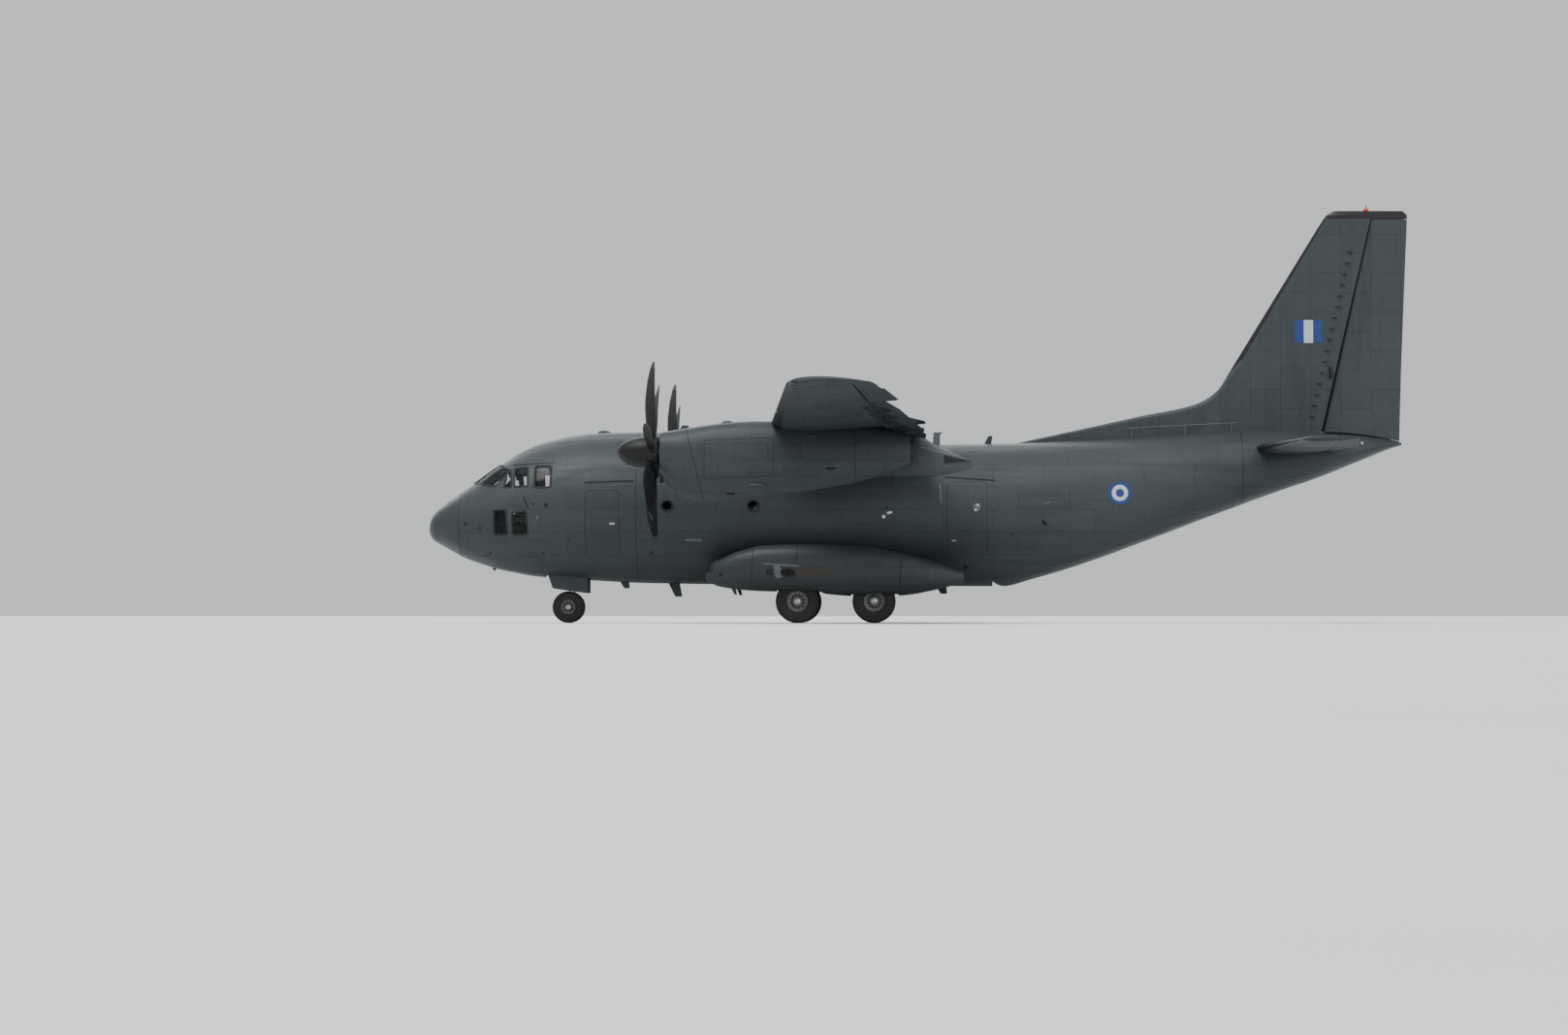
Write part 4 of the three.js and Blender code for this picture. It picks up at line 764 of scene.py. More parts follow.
def make_finishes(colours):
    """Every finish of the aircraft."""
    skin, dark = tuple(colours.skin), tuple(colours.dark)
    soot = ((2.38 / 0.62, 2.3 / 0.5, -1.17 / 0.16), (1 / 0.62, 1 / 0.5, 1 / 0.16))
    painted_skin("fuselage_paint", skin, (0, 2), (1.15, 0.52))
    painted_skin("wing_paint", skin, (1, 0), (0.95, 0.62), 0.62, (0.4, 3, 3))
    painted_skin("fin_paint", skin, (2, 0), (0.9, 0.7), streak=(2.5, 3, 0.3))
    painted_skin("pod_paint", dark, (0, 2), (0.8, 0.42), darker=0.65, stain=soot)
    painted_skin("nacelle_paint", skin, (0, 2), (0.74, 0.36), darker=0.65)
    painted_skin("control_paint", tuple(c * 0.94 for c in skin), (1, 0), (1.9, 3), 0.62)
    # Name, colour, roughness, metal, scale and share of the variation, depth of the grain
    for row in (
        ("radome_paint", tuple(c * 0.9 for c in skin), 0.42, 0, 3, 0.1),
        ("boot_rubber", tuple(colours.boot), 0.45, 0, 5, 0.35, 0.002),
        ("propeller_black", tuple(colours.propeller), 0.5, 0, 8, 0.3),
        ("blade_tip_paint", (0.035, 0.039, 0.042), 0.5),
        ("tyre_rubber", (0.022, 0.022, 0.024), 0.82, 0, 14, 0.35, 0.003),
        ("rim_paint", (0.14, 0.145, 0.15), 0.45, 0.2, 20, 0.16),
        ("leg_paint", (0.17, 0.185, 0.19), 0.45, 0.2, 18, 0.16),
        ("polished_piston", (0.72, 0.73, 0.75), 0.12, 1, 30, 0.05, 0.0002),
        ("bare_steel", (0.36, 0.35, 0.34), 0.36, 1, 24, 0.2),
        ("burnt_steel", (0.055, 0.05, 0.046), 0.55, 0.9, 7, 0.45),
        ("engine_casting", (0.22, 0.22, 0.22), 0.5, 0.8, 18, 0.3),
        ("lining_cloth", (0.3, 0.33, 0.3), 0.85, 0, 30, 0.12, 0.004),
        ("bay_primer", (0.2, 0.23, 0.19), 0.6, 0, 9, 0.2),
        ("floor_metal", (0.3, 0.31, 0.31), 0.42, 0.7, 16, 0.22, 0.002),
        ("seat_cloth", (0.075, 0.085, 0.07), 0.9, 0, 60, 0.3, 0.006),
        ("panel_black", (0.02, 0.021, 0.023), 0.5, 0, 30, 0.2),
        ("seal_black", (0.012, 0.012, 0.013), 0.6, 0, 30, 0.2),
        # Near-black; in vents, inlets, the chin intake's duct, the port exhaust and on the wing's root fairing it is
        # painted shade
        ("vent_dark", (0.006, 0.006, 0.007), 0.8, 0, 12, 0.3),
        ("marking_blue", tuple(colours.blue), 0.45, 0, 7, 0.1),
        # White of the markings; on the paratroop doors' windows and on the fuselage at x 10.6 it makes painted glints
        ("marking_white", (0.44, 0.47, 0.49), 0.5, 0, 7, 0.07),
        # Pale grey; on the paratroop doors' windows it is a painted reflection, along the root fairing's edge a painted
        # highlight
        ("stencil_grey", (0.085, 0.1, 0.104), 0.6, 0, 9, 0.12),
        ("seam_grey", (0.01, 0.013, 0.014), 0.7, 0, 9, 0.12),
        ("hose_black", (0.015, 0.015, 0.016), 0.5, 0, 40, 0.3),
        ("red_lens", (0.35, 0.015, 0.01), 0.12, 0, 40, 0.1),
        ("green_lens", (0.01, 0.25, 0.06), 0.12, 0, 40, 0.1),
        ("stage_floor", (0.74, 0.74, 0.73), 0.75, 0, 0.4, 0.03),
    ):
        plain_finish(*row)
    for name, colour, rough, key, value, ripple, low, high in (
        ("cockpit_glass", (0.012, 0.018, 0.02), 0.03, "Alpha", 0.12, (5, 5), 0.02, 0.05),
        ("lamp_glass", (0.85, 0.88, 0.9), 0.05, "Transmission Weight", 0.6, (9, 4), 0.04, 0.14),
    ):
        tree, inputs = new_finish(name, colour, rough)
        inputs[key].default_value = value
        tree.links.new(spread(tree, noise(tree, *ripple), 0.4, 0.8, low, high), inputs["Roughness"])


# Fuselage


def cockpit_holes():
    """Outlines of the flight deck windows on both sides."""
    holes = [side_outline(c, s) for c in SIDE_WINDOWS for _, s in SIDES]
    return holes + [front_outline(c, s) for c in FRONT_WINDOWS for _, s in SIDES]


def porthole_holes():
    """Outlines of the cabin's portholes on both sides."""
    return [ring_outline(x, z, PORTHOLE_R, s, 28) for x, z in PORTHOLES for _, s in SIDES]


def grown(corners, by):
    """Corners moved away from their middle, for the gap round a door."""
    corners = np.asarray(corners, float)
    return corners + np.sign(corners - corners.mean(0)) * by


def build_fuselage():
    """The skins of the nose, cabin and tail with their linings and the joints between them."""
    stations = NOSE_LENGTH * np.linspace(0, 1, 16) ** (1 / NOSE_POWER)
    stations = np.r_[stations, np.linspace(NOSE_LENGTH, 0.7495, 12)[1:]]
    turn = full_turn(72)[None]
    radome = Parts().add(0, grid(hull(stations[:, None], turn)))
    make_piece("radome_shell", radome, "radome_paint", nodes="radome")

    crew_door = side_outline(grown(CREW_DOOR, 0.008), -1, 0.09)
    para_doors = [side_outline(grown(PARA_DOOR, 0.006), s, 0.12) for _, s in SIDES]
    bulkhead = plate(hull(0.755, full_turn(60), 0.02), (0.06, 0, 0))
    for name, x0, x1, step, holes, walls, node_name in (
        ("nose_skin", 0.75, 4.8995, 0.13, [*cockpit_holes(), crew_door, below_outline(NOSE_BAY)], [bulkhead],
         "forward_fuselage"),
        ("cabin_skin", 4.9, 11.8995, 0.2, porthole_holes(), [], "centre_fuselage"),
        ("rear_skin", 11.9, 18.7995, 0.16, [*para_doors, below_outline(REAR_OPENING, 0.01)], [], "rear_fuselage"),
    ):
        skin = Parts().add(0, skin_between(x0, x1, holes, step), inner=1).add(1, *walls)
        make_piece(name, skin, "fuselage_paint lining_cloth", nodes=node_name)

    stations = np.r_[np.linspace(18.8, 22.3, 34), np.linspace(22.34, 22.555, 8)]
    cone = Parts().add(0, grid(hull(stations[:, None], turn)))
    # Aft of x 21.75 the cone takes the radome's paint, a tenth darker than the skin: partly a separate cap's paint,
    # partly painted shade on the cone's end
    cone.finish = (middles(cone.points[0], cone.faces)[:, 0] > 21.75).astype(int).tolist()
    make_piece("tail_cone_skin", cone, "fuselage_paint radome_paint", nodes="tail_cone")


def build_glass():
    """Panes set in from the skin, and the seals and frames round them."""
    panes, frames = Parts(), Parts()
    for outlines, step, frame_size, seal_size in (
        (cockpit_holes(), 0.09, (0.05, 0.007), (0.026, 0.011)),
        (porthole_holes(), 0.06, (0.05, 0.008), (0.022, 0.012)),
    ):
        for outline in outlines:
            panes.add(0, skin_patch(outline, -0.012, 0.026, step))
            frames.add(0, skin_bead(outline, *frame_size)).add(1, skin_bead(outline, *seal_size))
    make_piece("cockpit_panes", panes, "cockpit_glass", nodes="cockpit_glazing")
    make_piece("window_frames", frames, "seam_grey seal_black")


def build_doors():
    """Crew door with its airstair, and the paratroop doors."""

    def lining(x, z):
        return hull(x, turn_on_side(x, z, -1), WALL)

    leaf = Parts().add(0, skin_patch(side_outline(CREW_DOOR, -1, 0.085)), inner=1)
    c, s = math.cos(CREW_DOOR_SWING), math.sin(CREW_DOOR_SWING)
    tread, thick = 0.16 * np.array([-c, s]), 0.03 * np.array([s, c])
    for z in np.linspace(-0.45, 0.55, 5):
        foot = np.array([lining(4.13, z)[1] - 0.02, z])
        step = [(3.84, *corner) for corner in (foot, foot + tread, foot + tread + thick, foot + thick)]
        leaf.add(2, plate(step, (0.58, 0, 0), 0.006))
    for x in (3.82, 4.44):
        leaf.add(2, tube(lining(x, np.linspace(-0.55, 0.66, 14)) + (0, 0.07, 0), 0.014))
    leaf.add(3, skin_patch(side_outline(rect(4.3, 0.02, 4.42, 0.07), -1, 0.01), 0.012, -0.001))
    make_piece("crew_door_leaf", leaf, "fuselage_paint lining_cloth floor_metal bare_steel", "crew_door")
    for side, s in SIDES:
        door = Parts().add(0, skin_patch(side_outline(PARA_DOOR, s, 0.115)), inner=1)
        # The door's round window is a flat grey disc, its grey a painted reflection, and the two small white discs on
        # it are painted glints
        for x, z, r, out, finish in ((12.69, 0.41, 0.095, 0.004, 2), (12.715, 0.465, 0.03, 0.006, 4),
                                     (12.665, 0.35, 0.026, 0.006, 4)):
            door.add(finish, skin_patch(ring_outline(x, z, r, s, 24), out, -0.001))
        door.add(0, skin_bead(ring_outline(12.69, 0.41, 0.1, s, 28), 0.03, 0.008))
        door.add(3, skin_patch(side_outline(rect(12.12, -0.36, 12.22, -0.32), s, 0.01), 0.014, -0.001))
        make_piece("para_door_leaf_" + side, door, "fuselage_paint lining_cloth stencil_grey bare_steel marking_white",
                   nodes="para_door_" + side)


def height_solid(x, y, under, over):
    """A solid over a grid of places, between two heights at each."""
    return grid(np.concatenate([joined(x, y, under), joined(x, y, over)[:, ::-1]], 1))


def build_cargo_doors():
    """The ramp with its tread and side rails, and the door above it that swings up into the tail.

    The ramp's front edge is a round nose about its hinge, and its deck falls in a straight line to the toe.
    """
    hinge_x, hinge_z, nose, toe_x, toe_z = (RAMP[key] for key in ("x", "z", "nose", "toe_x", "toe_z"))

    def deck(x):
        return hinge_z + nose + (x - hinge_x) * (toe_z - hinge_z - nose) / (toe_x - hinge_x)

    xs = np.concatenate([hinge_x - nose * np.cos(np.linspace(0, PI / 2, 14)), np.linspace(hinge_x, toe_x, 22)[1:],
                         toe_x + np.linspace(0, 0.085, 4)[1:]])
    x, y = np.meshgrid(xs, np.linspace(-RAMP["half"], RAMP["half"], 41), indexing="ij")
    x = np.maximum(x, hinge_x - np.sqrt(nose**2 - np.maximum(belly(hinge_x - nose, y) - hinge_z, 0) ** 2))
    arc = np.sqrt(np.maximum(nose**2 - np.minimum(x - hinge_x, 0) ** 2, 0))
    under = np.where(x < hinge_x, np.maximum(belly(x, y), hinge_z - arc), belly(x, y))
    over = np.where(x < hinge_x, hinge_z + arc, deck(x))
    over = np.where(x > toe_x, toe_z - 2 * (x - toe_x), over)
    ramp = Parts().add(0, height_solid(x, y, under, np.maximum(over, under + 1e-4)))
    for y in (-1, -0.55, 0.55, 1):
        ramp.add(2, rod(*((x, y, deck(x) + 0.012) for x in (hinge_x + 0.05, toe_x - 0.08)), 0.02, 8))
    for x in np.arange(hinge_x + 0.15, toe_x - 0.1, 0.13):
        for y0, y1 in ((-0.95, -0.6), (-0.5, 0.5), (0.6, 0.95)):
            ramp.add(1, pillow((x - 0.012, y0, deck(x) - 0.006), (x + 0.012, y1, deck(x) + 0.008), 0.005, 1))
    make_piece("cargo_ramp_leaf", ramp, "fuselage_paint seal_black floor_metal", "cargo_ramp")

    front, back = CARGO_DOOR
    share = np.linspace(0, 1, 30)[:, None, None] + np.zeros((31, 1))
    x, top, half = np.moveaxis(front + (back - front) * share, -1, 0)
    y = half * np.linspace(-1, 1, 31)
    under = belly(x, y)
    door = Parts().add(0, height_solid(x, y, under, np.maximum(top, under + 0.02)))
    for share in np.arange(1, 7) / 7:
        x, z, half = (front + (back - front) * share) * (1, 1, 0.92)
        door.add(1, pillow((x - 0.02, -half, z - 0.02), (x + 0.02, half, z + 0.03), 0.01, 1))
    make_piece("cargo_door_leaf", door, "fuselage_paint bay_primer", "cargo_door")


# Wing and tail


def row_at(rows, span):
    """Leading edge, trailing edge, chord plane height and thickness ratio at spans."""
    return [np.interp(span, rows[:, 0], rows[:, k]) for k in range(1, 5)]


def half_thickness(s, thick):
    """Half of a four-digit section's thickness at a share of the chord."""
    poly = 0.2969 * np.sqrt(s) - 0.126 * s - 0.3516 * s**2 + 0.2843 * s**3 - 0.1036 * s**4
    return np.maximum(5 * thick * poly, 0.0012 * (s > 0))


def surface(rows, span, s, camber):
    """Station, upper and lower height and plane height of a wing's skin."""
    le, te, z, thick = row_at(rows, span)
    chord = te - le
    middle = chord * camber * 4 * s * (1 - s)
    half = chord * half_thickness(s, thick)
    return le + chord * s, middle + half, middle - half, z


def flat_place(x, height, span, z):
    """A section's points on a wing, by height over its plane."""
    return joined(x, span, z + height)


def fin_place(x, height, span, _):
    """A section's points on the fin, whose upper side faces port."""
    return joined(x, -height, span)


def share_at(share, span):
    """A share of the chord, given as a number or as a function of the span."""
    return share(span) if callable(share) else share


def section_rings(rows, spans, camber, place, cove=None):
    """Rings round an aerofoil: top from nose to tail, then back below. Behind a cove they stand on its face."""
    spans = np.asarray(spans)[:, None]
    share = (1 - np.cos(np.linspace(0, PI, 27))) / 2
    if cove is not None:
        share = np.minimum(share, share_at(cove, spans))
    x, upper, lower, z = surface(rows, spans, share, camber)
    return np.concatenate([place(x, upper, spans, z), place(x, lower, spans, z)[:, :0:-1]], 1)


def boot_marks(patch, rows, axis, share, start, end):
    """Marks a patch's faces near the leading edge, between two spans along an axis, for the boot's finish."""
    middle = middles(*patch)
    span = np.abs(middle[:, axis])
    le, te, _, _ = row_at(rows, span)
    near = (middle[:, 0] < le + share * (te - le)) & (start < span) & (span < end)
    return (*patch, near.astype(int).tolist())


def control_nose(rows, span, share, camber):
    """Where a hinged surface's round nose is: centre, radii and the share at which its skin begins."""
    le, te, z, thick = row_at(rows, span)
    chord = te - le
    radius = chord * half_thickness(share, thick)
    x = le + chord * share + COVE_GAP + radius
    s = (x - le) / chord
    _, upper, lower, _ = surface(rows, span, s, camber)
    return x, (upper + lower) / 2, radius, (upper - lower) / 2, s, z


def control_rings(rows, spans, share, camber, place):
    """Rings of a hinged surface: half an ellipse for its nose, then the aerofoil's skin."""
    spans = np.asarray(spans)[:, None]
    a = np.linspace(PI, PI / 2, 9)
    x0, middle, radius, half, s0, z = control_nose(rows, spans, share_at(share, spans), camber)
    x, upper, lower, _ = surface(rows, spans, s0 + (1 - s0) * np.linspace(0, 1, 11)[1:], camber)
    nose_x, nose_h = x0 + radius * np.cos(a), half * np.sin(a)
    xs = np.concatenate([nose_x, x, x[:, ::-1], nose_x[:, :0:-1]], 1)
    return place(xs, np.concatenate([middle + nose_h, upper, lower[:, ::-1], middle - nose_h[:, :0:-1]], 1), spans, z)


def lips(rows, spans, share, reach, camber, place, sides=(1, -1)):
    """Thin edges of skin that reach aft of a cove over a hinged surface's nose, above for 1 and below for -1."""
    le, te, _, _ = row_at(rows, spans)
    made = []
    for side in sides:
        corners = []
        for out, depth in ((0, 0), (reach, 0), (reach, LIP_THICK), (0, LIP_THICK)):
            x, upper, lower, z = surface(rows, spans, share_at(share, spans) + out / (te - le), camber)
            corners.append(place(x, upper - depth if side > 0 else lower + depth, spans, z))
        made.append(grid(np.stack(corners, 1)))
    return made


def flap_line(span):
    """A point of the flap's hinge line, below its nose."""
    x, middle, _, _, _, z = control_nose(WING, span, HINGE_SHARE, CAMBER)
    return np.array([x, span, z + middle - FLAP_DROP])


def flap_arms(start, end, count):
    """Places along the span of the brackets that carry a flap."""
    return start + (end - start) * (np.arange(count) + 0.5) / count


def bracket(corners, span, shift):
    """Outline of a flap bracket's plate beside a span, its corners measured from the hinge line."""
    x, _, z = flap_line(span)
    return np.array([(x + u, span + shift, z + v) for u, v in corners])


SADDLE_CURVES = smooth_through(SADDLE)


def saddle_skin(x, a):
    """The fairing over the wing's root at a station and a turn: a squarish superellipse on a level base."""
    top, half = SADDLE_CURVES(x)
    return squarish(x, a, 0, half, SADDLE_BASE, np.where(np.sin(a) >= 0, top - SADDLE_BASE, 0.15), 2.7)


def saddle_turn(x, z, side):
    """The turn at which the root fairing has a height on one side."""
    return upper_turn((z - SADDLE_BASE) / (SADDLE_CURVES(x)[0] - SADDLE_BASE), 2.7, side)


def build_wing():
    """Wing with the coves behind it, its root fairing, flaps, ailerons, and the brackets that carry them."""
    wing = Parts()
    for spans, cove in (
        ((-1.9, 0, 1.9), None),
        ((1.9, 4.13), HINGE_SHARE),
        ((4.13, 5, 5.36), None),
        (np.linspace(5.36, 13.912, 12), HINGE_SHARE),
        ((13.912, 13.95, *np.linspace(14, 14.35, 9)), None),
    ):
        patch = boot_marks(grid(section_rings(WING, spans, CAMBER, flat_place, cove)), WING, 1, 0.055, 1.7, 14.2)
        add = wing.add if spans[0] < 0 else wing.both
        add(0, patch, inner=1)
    wing.both(0, *lips(WING, np.linspace(*AILERON, 6), HINGE_SHARE, 0.01, CAMBER, flat_place))
    for _, start, end, count in FLAPS:
        spans = np.linspace(start, end, 8)
        le, te, _, thick = row_at(WING, spans)
        reach = COVE_GAP + 0.5 * (te - le) * half_thickness(HINGE_SHARE, thick)
        wing.both(0, *lips(WING, spans, HINGE_SHARE, reach, CAMBER, flat_place, (1,)))
        for span in flap_arms(start, end, count):
            wing.both(0, plate(bracket(FLAP_BRACKET, span, 0.02), BRACKET_THICK, 0.003))
    make_piece("wing_skin", wing, "wing_paint boot_rubber", nodes="wing_centre wing_left wing_right")

    saddle = Parts().add(0, grid(saddle_skin(np.linspace(SADDLE[0, 0], SADDLE[-1, 0], 60)[:, None], full_turn(72))))
    for _, s in SIDES:
        # A near-black triangle on each side of the fairing, standing out from its skin: painted shadow of the gap under
        # the fairing's aft edge
        shadow_triangle = seen_outline(((11.93, 1.62), (12.62, 1.47), (11.95, 1.41)), saddle_turn, s, 0.03, 0.05)
        saddle.add(1, skin_patch(shadow_triangle, 0.004, -0.0015, 0.06, saddle_skin))
        saddle.add(0, skin_bead(shadow_triangle, 0.022, 0.009, shape=saddle_skin))
        # A pale grey bead along the fairing's upper edge: a painted highlight
        lip = side_path(((11.42, 1.8), (11.93, 1.655), (12.66, 1.475)), saddle_turn, s, 0.06)
        saddle.add(2, skin_bead(lip, 0.03, 0.01, False, saddle_skin))
    make_piece("wing_root_fairing", saddle, "fuselage_paint vent_dark stencil_grey")

    tab_spans = np.array([10.32, 12.65, 12.65, 10.32])
    x, _, low, z = surface(WING, tab_spans, 1, CAMBER)
    tab = joined(x + (-0.06, -0.06, 0.05, 0.05), tab_spans, z + low)
    for side, s in SIDES:
        for name, start, end, count in FLAPS:
            a, b = flap_line(start), flap_line(end)

            def lowered(p):
                return turned_about(p, a, b - a, FLAP_REST)

            patch = grid(control_rings(WING, np.linspace(start + 0.01, end, 6), HINGE_SHARE, CAMBER, flat_place))
            flap = Parts(to_side(s)).add(0, moved(patch, lowered))
            for span in flap_arms(start, end, count):
                flap.add(0, plate(lowered(bracket(FLAP_ARM, span, -0.012)), BRACKET_THICK, 0.003))
            make_piece("flap_%s_skin_%s" % (name, side), flap, "control_paint", "flap_%s_%s" % (name, side))
        patch = grid(control_rings(WING, np.linspace(*AILERON, 6), HINGE_SHARE, CAMBER, flat_place))
        aileron = Parts(to_side(s)).add(0, patch, plate(tab, (0, 0, 0.012), 0.002))
        make_piece("aileron_skin_" + side, aileron, "control_paint", "aileron_" + side)


def rudder_hinge(z):
    """Station of the raked hinge line at a height."""
    (x0, z0), (x1, z1) = RUDDER["low"], RUDDER["high"]
    return x0 + (x1 - x0) * (z - z0) / (z1 - z0)


def rudder_share(span):
    """Share of the fin's chord at which the raked rudder begins."""
    le, te, _, _ = row_at(FIN, span)
    return (rudder_hinge(span) - le) / (te - le)


def build_tail():
    """Fin with its dorsal fillet, rudder, tailplane and elevators."""
    rings = section_rings(FIN, np.linspace(2, FIN_CAP, 26), 0, fin_place, rudder_share)
    fin = Parts().add(0, boot_marks(grid(rings), FIN, 2, 0.035, 3.66, 7.13), inner=1)
    fin.add(1, grid(section_rings(FIN, (FIN_CAP, *np.linspace(7.17, 7.32, 7)), 0, fin_place)))
    xs = np.linspace(DORSAL[0, 0], DORSAL[-1, 0], 50)[:, None]
    a = np.linspace(0, PI, 13)
    top, w = smooth_through(DORSAL)(xs)
    y = np.concatenate([w * np.cos(a), -w, w], 1)
    z = np.concatenate([top - w + w * np.sin(a), 1.5 + 0 * w, 1.5 + 0 * w], 1)
    fin.add(0, grid(joined(xs, y, z)))
    x = rudder_hinge(3.56)
    fin.both(1, pillow((x - 0.12, 0.02, 3.44), (x - 0.05, 0.215, 3.69), 0.012))
    fin.add(0, *lips(FIN, np.linspace(2.27, 7.12, 24), rudder_share, 0.012, 0, fin_place))
    fin.add(1, plate([(x, -0.002, z) for x, z in rect(21.85, 7.1216, 22.64, FIN_CAP + 0.002)], (0, 0.004, 0), 0))
    x = np.linspace(20.64, 22.5, 24)
    corners = ((-0.006, -0.01), (-0.004, 0.017), (0.004, 0.017), (0.006, -0.01))
    ridge = [joined(x, y, hull_section(x)[0] + height) for y, height in corners]
    fin.add(0, grid(np.stack(ridge, 1)))
    make_piece("fin_skin", fin, "fin_paint boot_rubber", nodes="fin")

    bottom, top = RUDDER["bottom"], RUDDER["top"]
    rings = control_rings(FIN, np.linspace(bottom, top, 24), rudder_share, 0, fin_place)
    foot = hull_section(rings[..., 0])[0] + RUDDER["clear"]
    drop = (foot - bottom) * (top - rings[..., 2]) / (top - bottom)
    back = np.clip((rings[..., 0] - rudder_hinge(rings[..., 2])) / 1.8, 0, 1)
    rings[..., 2] += drop
    rings[..., 0] += drop * (0.234 - 0.2 * back)
    make_piece("rudder_skin", Parts().add(0, grid(rings)), "fin_paint", "rudder")

    tail = Parts().both(0, grid(section_rings(TAILPLANE, (0, 0.78), 0, flat_place, 0.74)))
    for spans, cove in (
        (np.linspace(0.78, 5.912, 7), ELEVATOR_SHARE),
        ((5.912, 6, *np.linspace(6.04, 6.2, 7)), None),
    ):
        patch = grid(section_rings(TAILPLANE, spans, 0, flat_place, cove))
        tail.both(0, boot_marks(patch, TAILPLANE, 1, 0.06, 1.1, 6.1), inner=1)
    spans = np.linspace(*ELEVATOR, 8)
    tail.both(0, *lips(TAILPLANE, spans, ELEVATOR_SHARE, 0.01, 0, flat_place))
    make_piece("tailplane_skin", tail, "wing_paint boot_rubber", nodes="tailplane")
    for side, s in SIDES:
        patch = grid(control_rings(TAILPLANE, spans, ELEVATOR_SHARE, 0, flat_place))
        make_piece("elevator_skin_" + side, Parts(to_side(s)).add(0, patch), "control_paint", "elevator_" + side)


# Engines and propellers

NACELLE_CURVES = smooth_through(NACELLE)


def nacelle_ring(x, a, inset=0):
    """A nacelle's skin at a station and a turn: superellipse halves of different height."""
    top, mid, bottom, half = NACELLE_CURVES(x)
    height = np.where(np.sin(a) > 0, top - mid, mid - bottom) - inset
    return squarish(x, a, 0, half - inset, mid, height, 2.4)


def nacelle_turn(x, z, side):
    """The turn at which a nacelle has a height on one side."""
    top, mid, bottom, _ = NACELLE_CURVES(x)
    return upper_turn((z - mid) / np.where(z > mid, top - mid, mid - bottom), 2.4, side)


def build_nacelles():
    """Nacelles with a lipped front, the chin intake and its duct, seams, scoops and vents, and the exhaust pipe."""
    a = full_turn(64)
    front, aft = NACELLE[0, 0], NACELLE[-1, 0]
    xs = np.r_[np.linspace(front, 6.42, 14)[1:], np.linspace(6.5, aft, 44)][:, None]
    t = np.linspace(0, PI / 2, 5)[:, None]
    lip = nacelle_ring(front + 0.03 * (1 - np.cos(t)), a, 0.03 * (1 - np.sin(t)))
    inner = nacelle_ring(xs[xs > 5.7][::-1, None], a, 0.045)
    cowling = grid(np.r_[lip, nacelle_ring(xs, a), inner])
    face = nacelle_ring(FACE_X, a, 0.035)[:, 1:]
    mouth = rounded([(-0.3, 1.12), (-0.24, 0.965), (-0.12, 0.9), (0.12, 0.9), (0.24, 0.965), (0.3, 1.12)], 0.04, 0.03)
    skin, dark, boot, burnt, darker = range(5)
    for side, s in SIDES:

        def put(points):
            return points + (0, s * NACELLE_Y, 0)

        body = Parts(put).add(skin, cowling)
        holes = [mouth, circle(0, HUB_Z, 0.14, 32)]
        points, faces = region(np.linspace(-0.5, 0.5, 12), np.linspace(0.8, 2.1, 14), holes, face)
        body.add(skin, shell(upright(points, FACE_X), upright(points, FACE_X + 0.02), faces))
        body.add(boot, bead(upright(mouth, FACE_X - 0.007), np.tile([-1, 0, 0], (len(mouth), 1)), 0.05, 0.03))
        # The chin intake's duct walls and the plate that closes it are near-black: painted shade inside the intake
        duct = [upright(mouth * (1 - 0.12 * d, 1) + (0, 0.25 * d), FACE_X + 0.008 + d) for d in (0, 0.2, 0.4)]
        wall = [ring.mean(0) + (ring - ring.mean(0)) * (1, 0.93, 0.93) for ring in duct[::-1]]
        body.add(dark, grid([*duct, *wall], loop=True), plate(duct[-1] - (0.01, 0, 0), (0.02, 0, 0)))
        make_piece("nacelle_skin_" + side, body, "nacelle_paint vent_dark boot_rubber", nodes="nacelle_" + side)

        pipe, hot = nacelle_ring(aft, a, 0.07), nacelle_ring(aft, a, 0.09)
        pipe = [pipe - (0.8, 0, 0), pipe + (0.05, 0, 0), hot + (0.05, 0, 0), hot - (0.8, 0, 0)]
        extra = Parts(put).add(burnt, grid(pipe, loop=True))
        extra.add(skin, scoop((6.96, 0, 2.175), UP, 0.17, 0.16))
        for d in (-1, 1):
            for x, z, length, width in ((7.55, 0.82, 0.22, 0.09), (8.9, 1.9, 0.12, 0.05)):
                spot, normal = spot_on(nacelle_ring, nacelle_turn, x, z, d)
                extra.add(skin, scoop(spot - normal * 0.005, normal, length, width))
            # Vents drawn as raised near-black patches in a bead: painted shade for their openings
            for corners in (((7.1, 0.61), (7.3, 0.6), (7.3, 0.655), (7.1, 0.665)),
                            ((9.3, 1.15), (9.52, 1.16), (9.52, 1.21), (9.3, 1.2))):
                vent = seen_outline(corners, nacelle_turn, d, 0.025, 0.04)
                extra.add(dark, skin_patch(vent, 0.004, -0.0015, 0.04, nacelle_ring))
                extra.add(skin, skin_bead(vent, 0.018, 0.008, shape=nacelle_ring))
            cowl = ((6.62, 0.95), (8.15, 1.02), (8.15, 1.86), (6.62, 1.82))
            cowl = seen_outline(cowl, nacelle_turn, d, 0.06, 0.08)
            extra.add(darker, skin_bead(cowl, 0.012, 0.0025, shape=nacelle_ring))
            for x in np.linspace(6.75, 8.02, 6):
                for z in (0.985, 1.8):
                    bolt = [(-0.002, 0.014), (0.003, 0.014), (0.005, 0.009), (0.005, 0)]
                    extra.add(burnt, turned(bolt, *spot_on(nacelle_ring, nacelle_turn, x, z, d), 10))
        for x, rake in ((6.28, 0.255), (9.95, 0)):
            turn = full_turn(72)
            seam = skin_outline(x + (1.8 - nacelle_ring(x, turn)[:, 2]) * rake, turn)
            extra.add(darker, skin_bead(seam, 0.016, 0.003, shape=nacelle_ring))
        make_piece("nacelle_fittings_" + side, extra, "nacelle_paint vent_dark boot_rubber burnt_steel seam_grey")


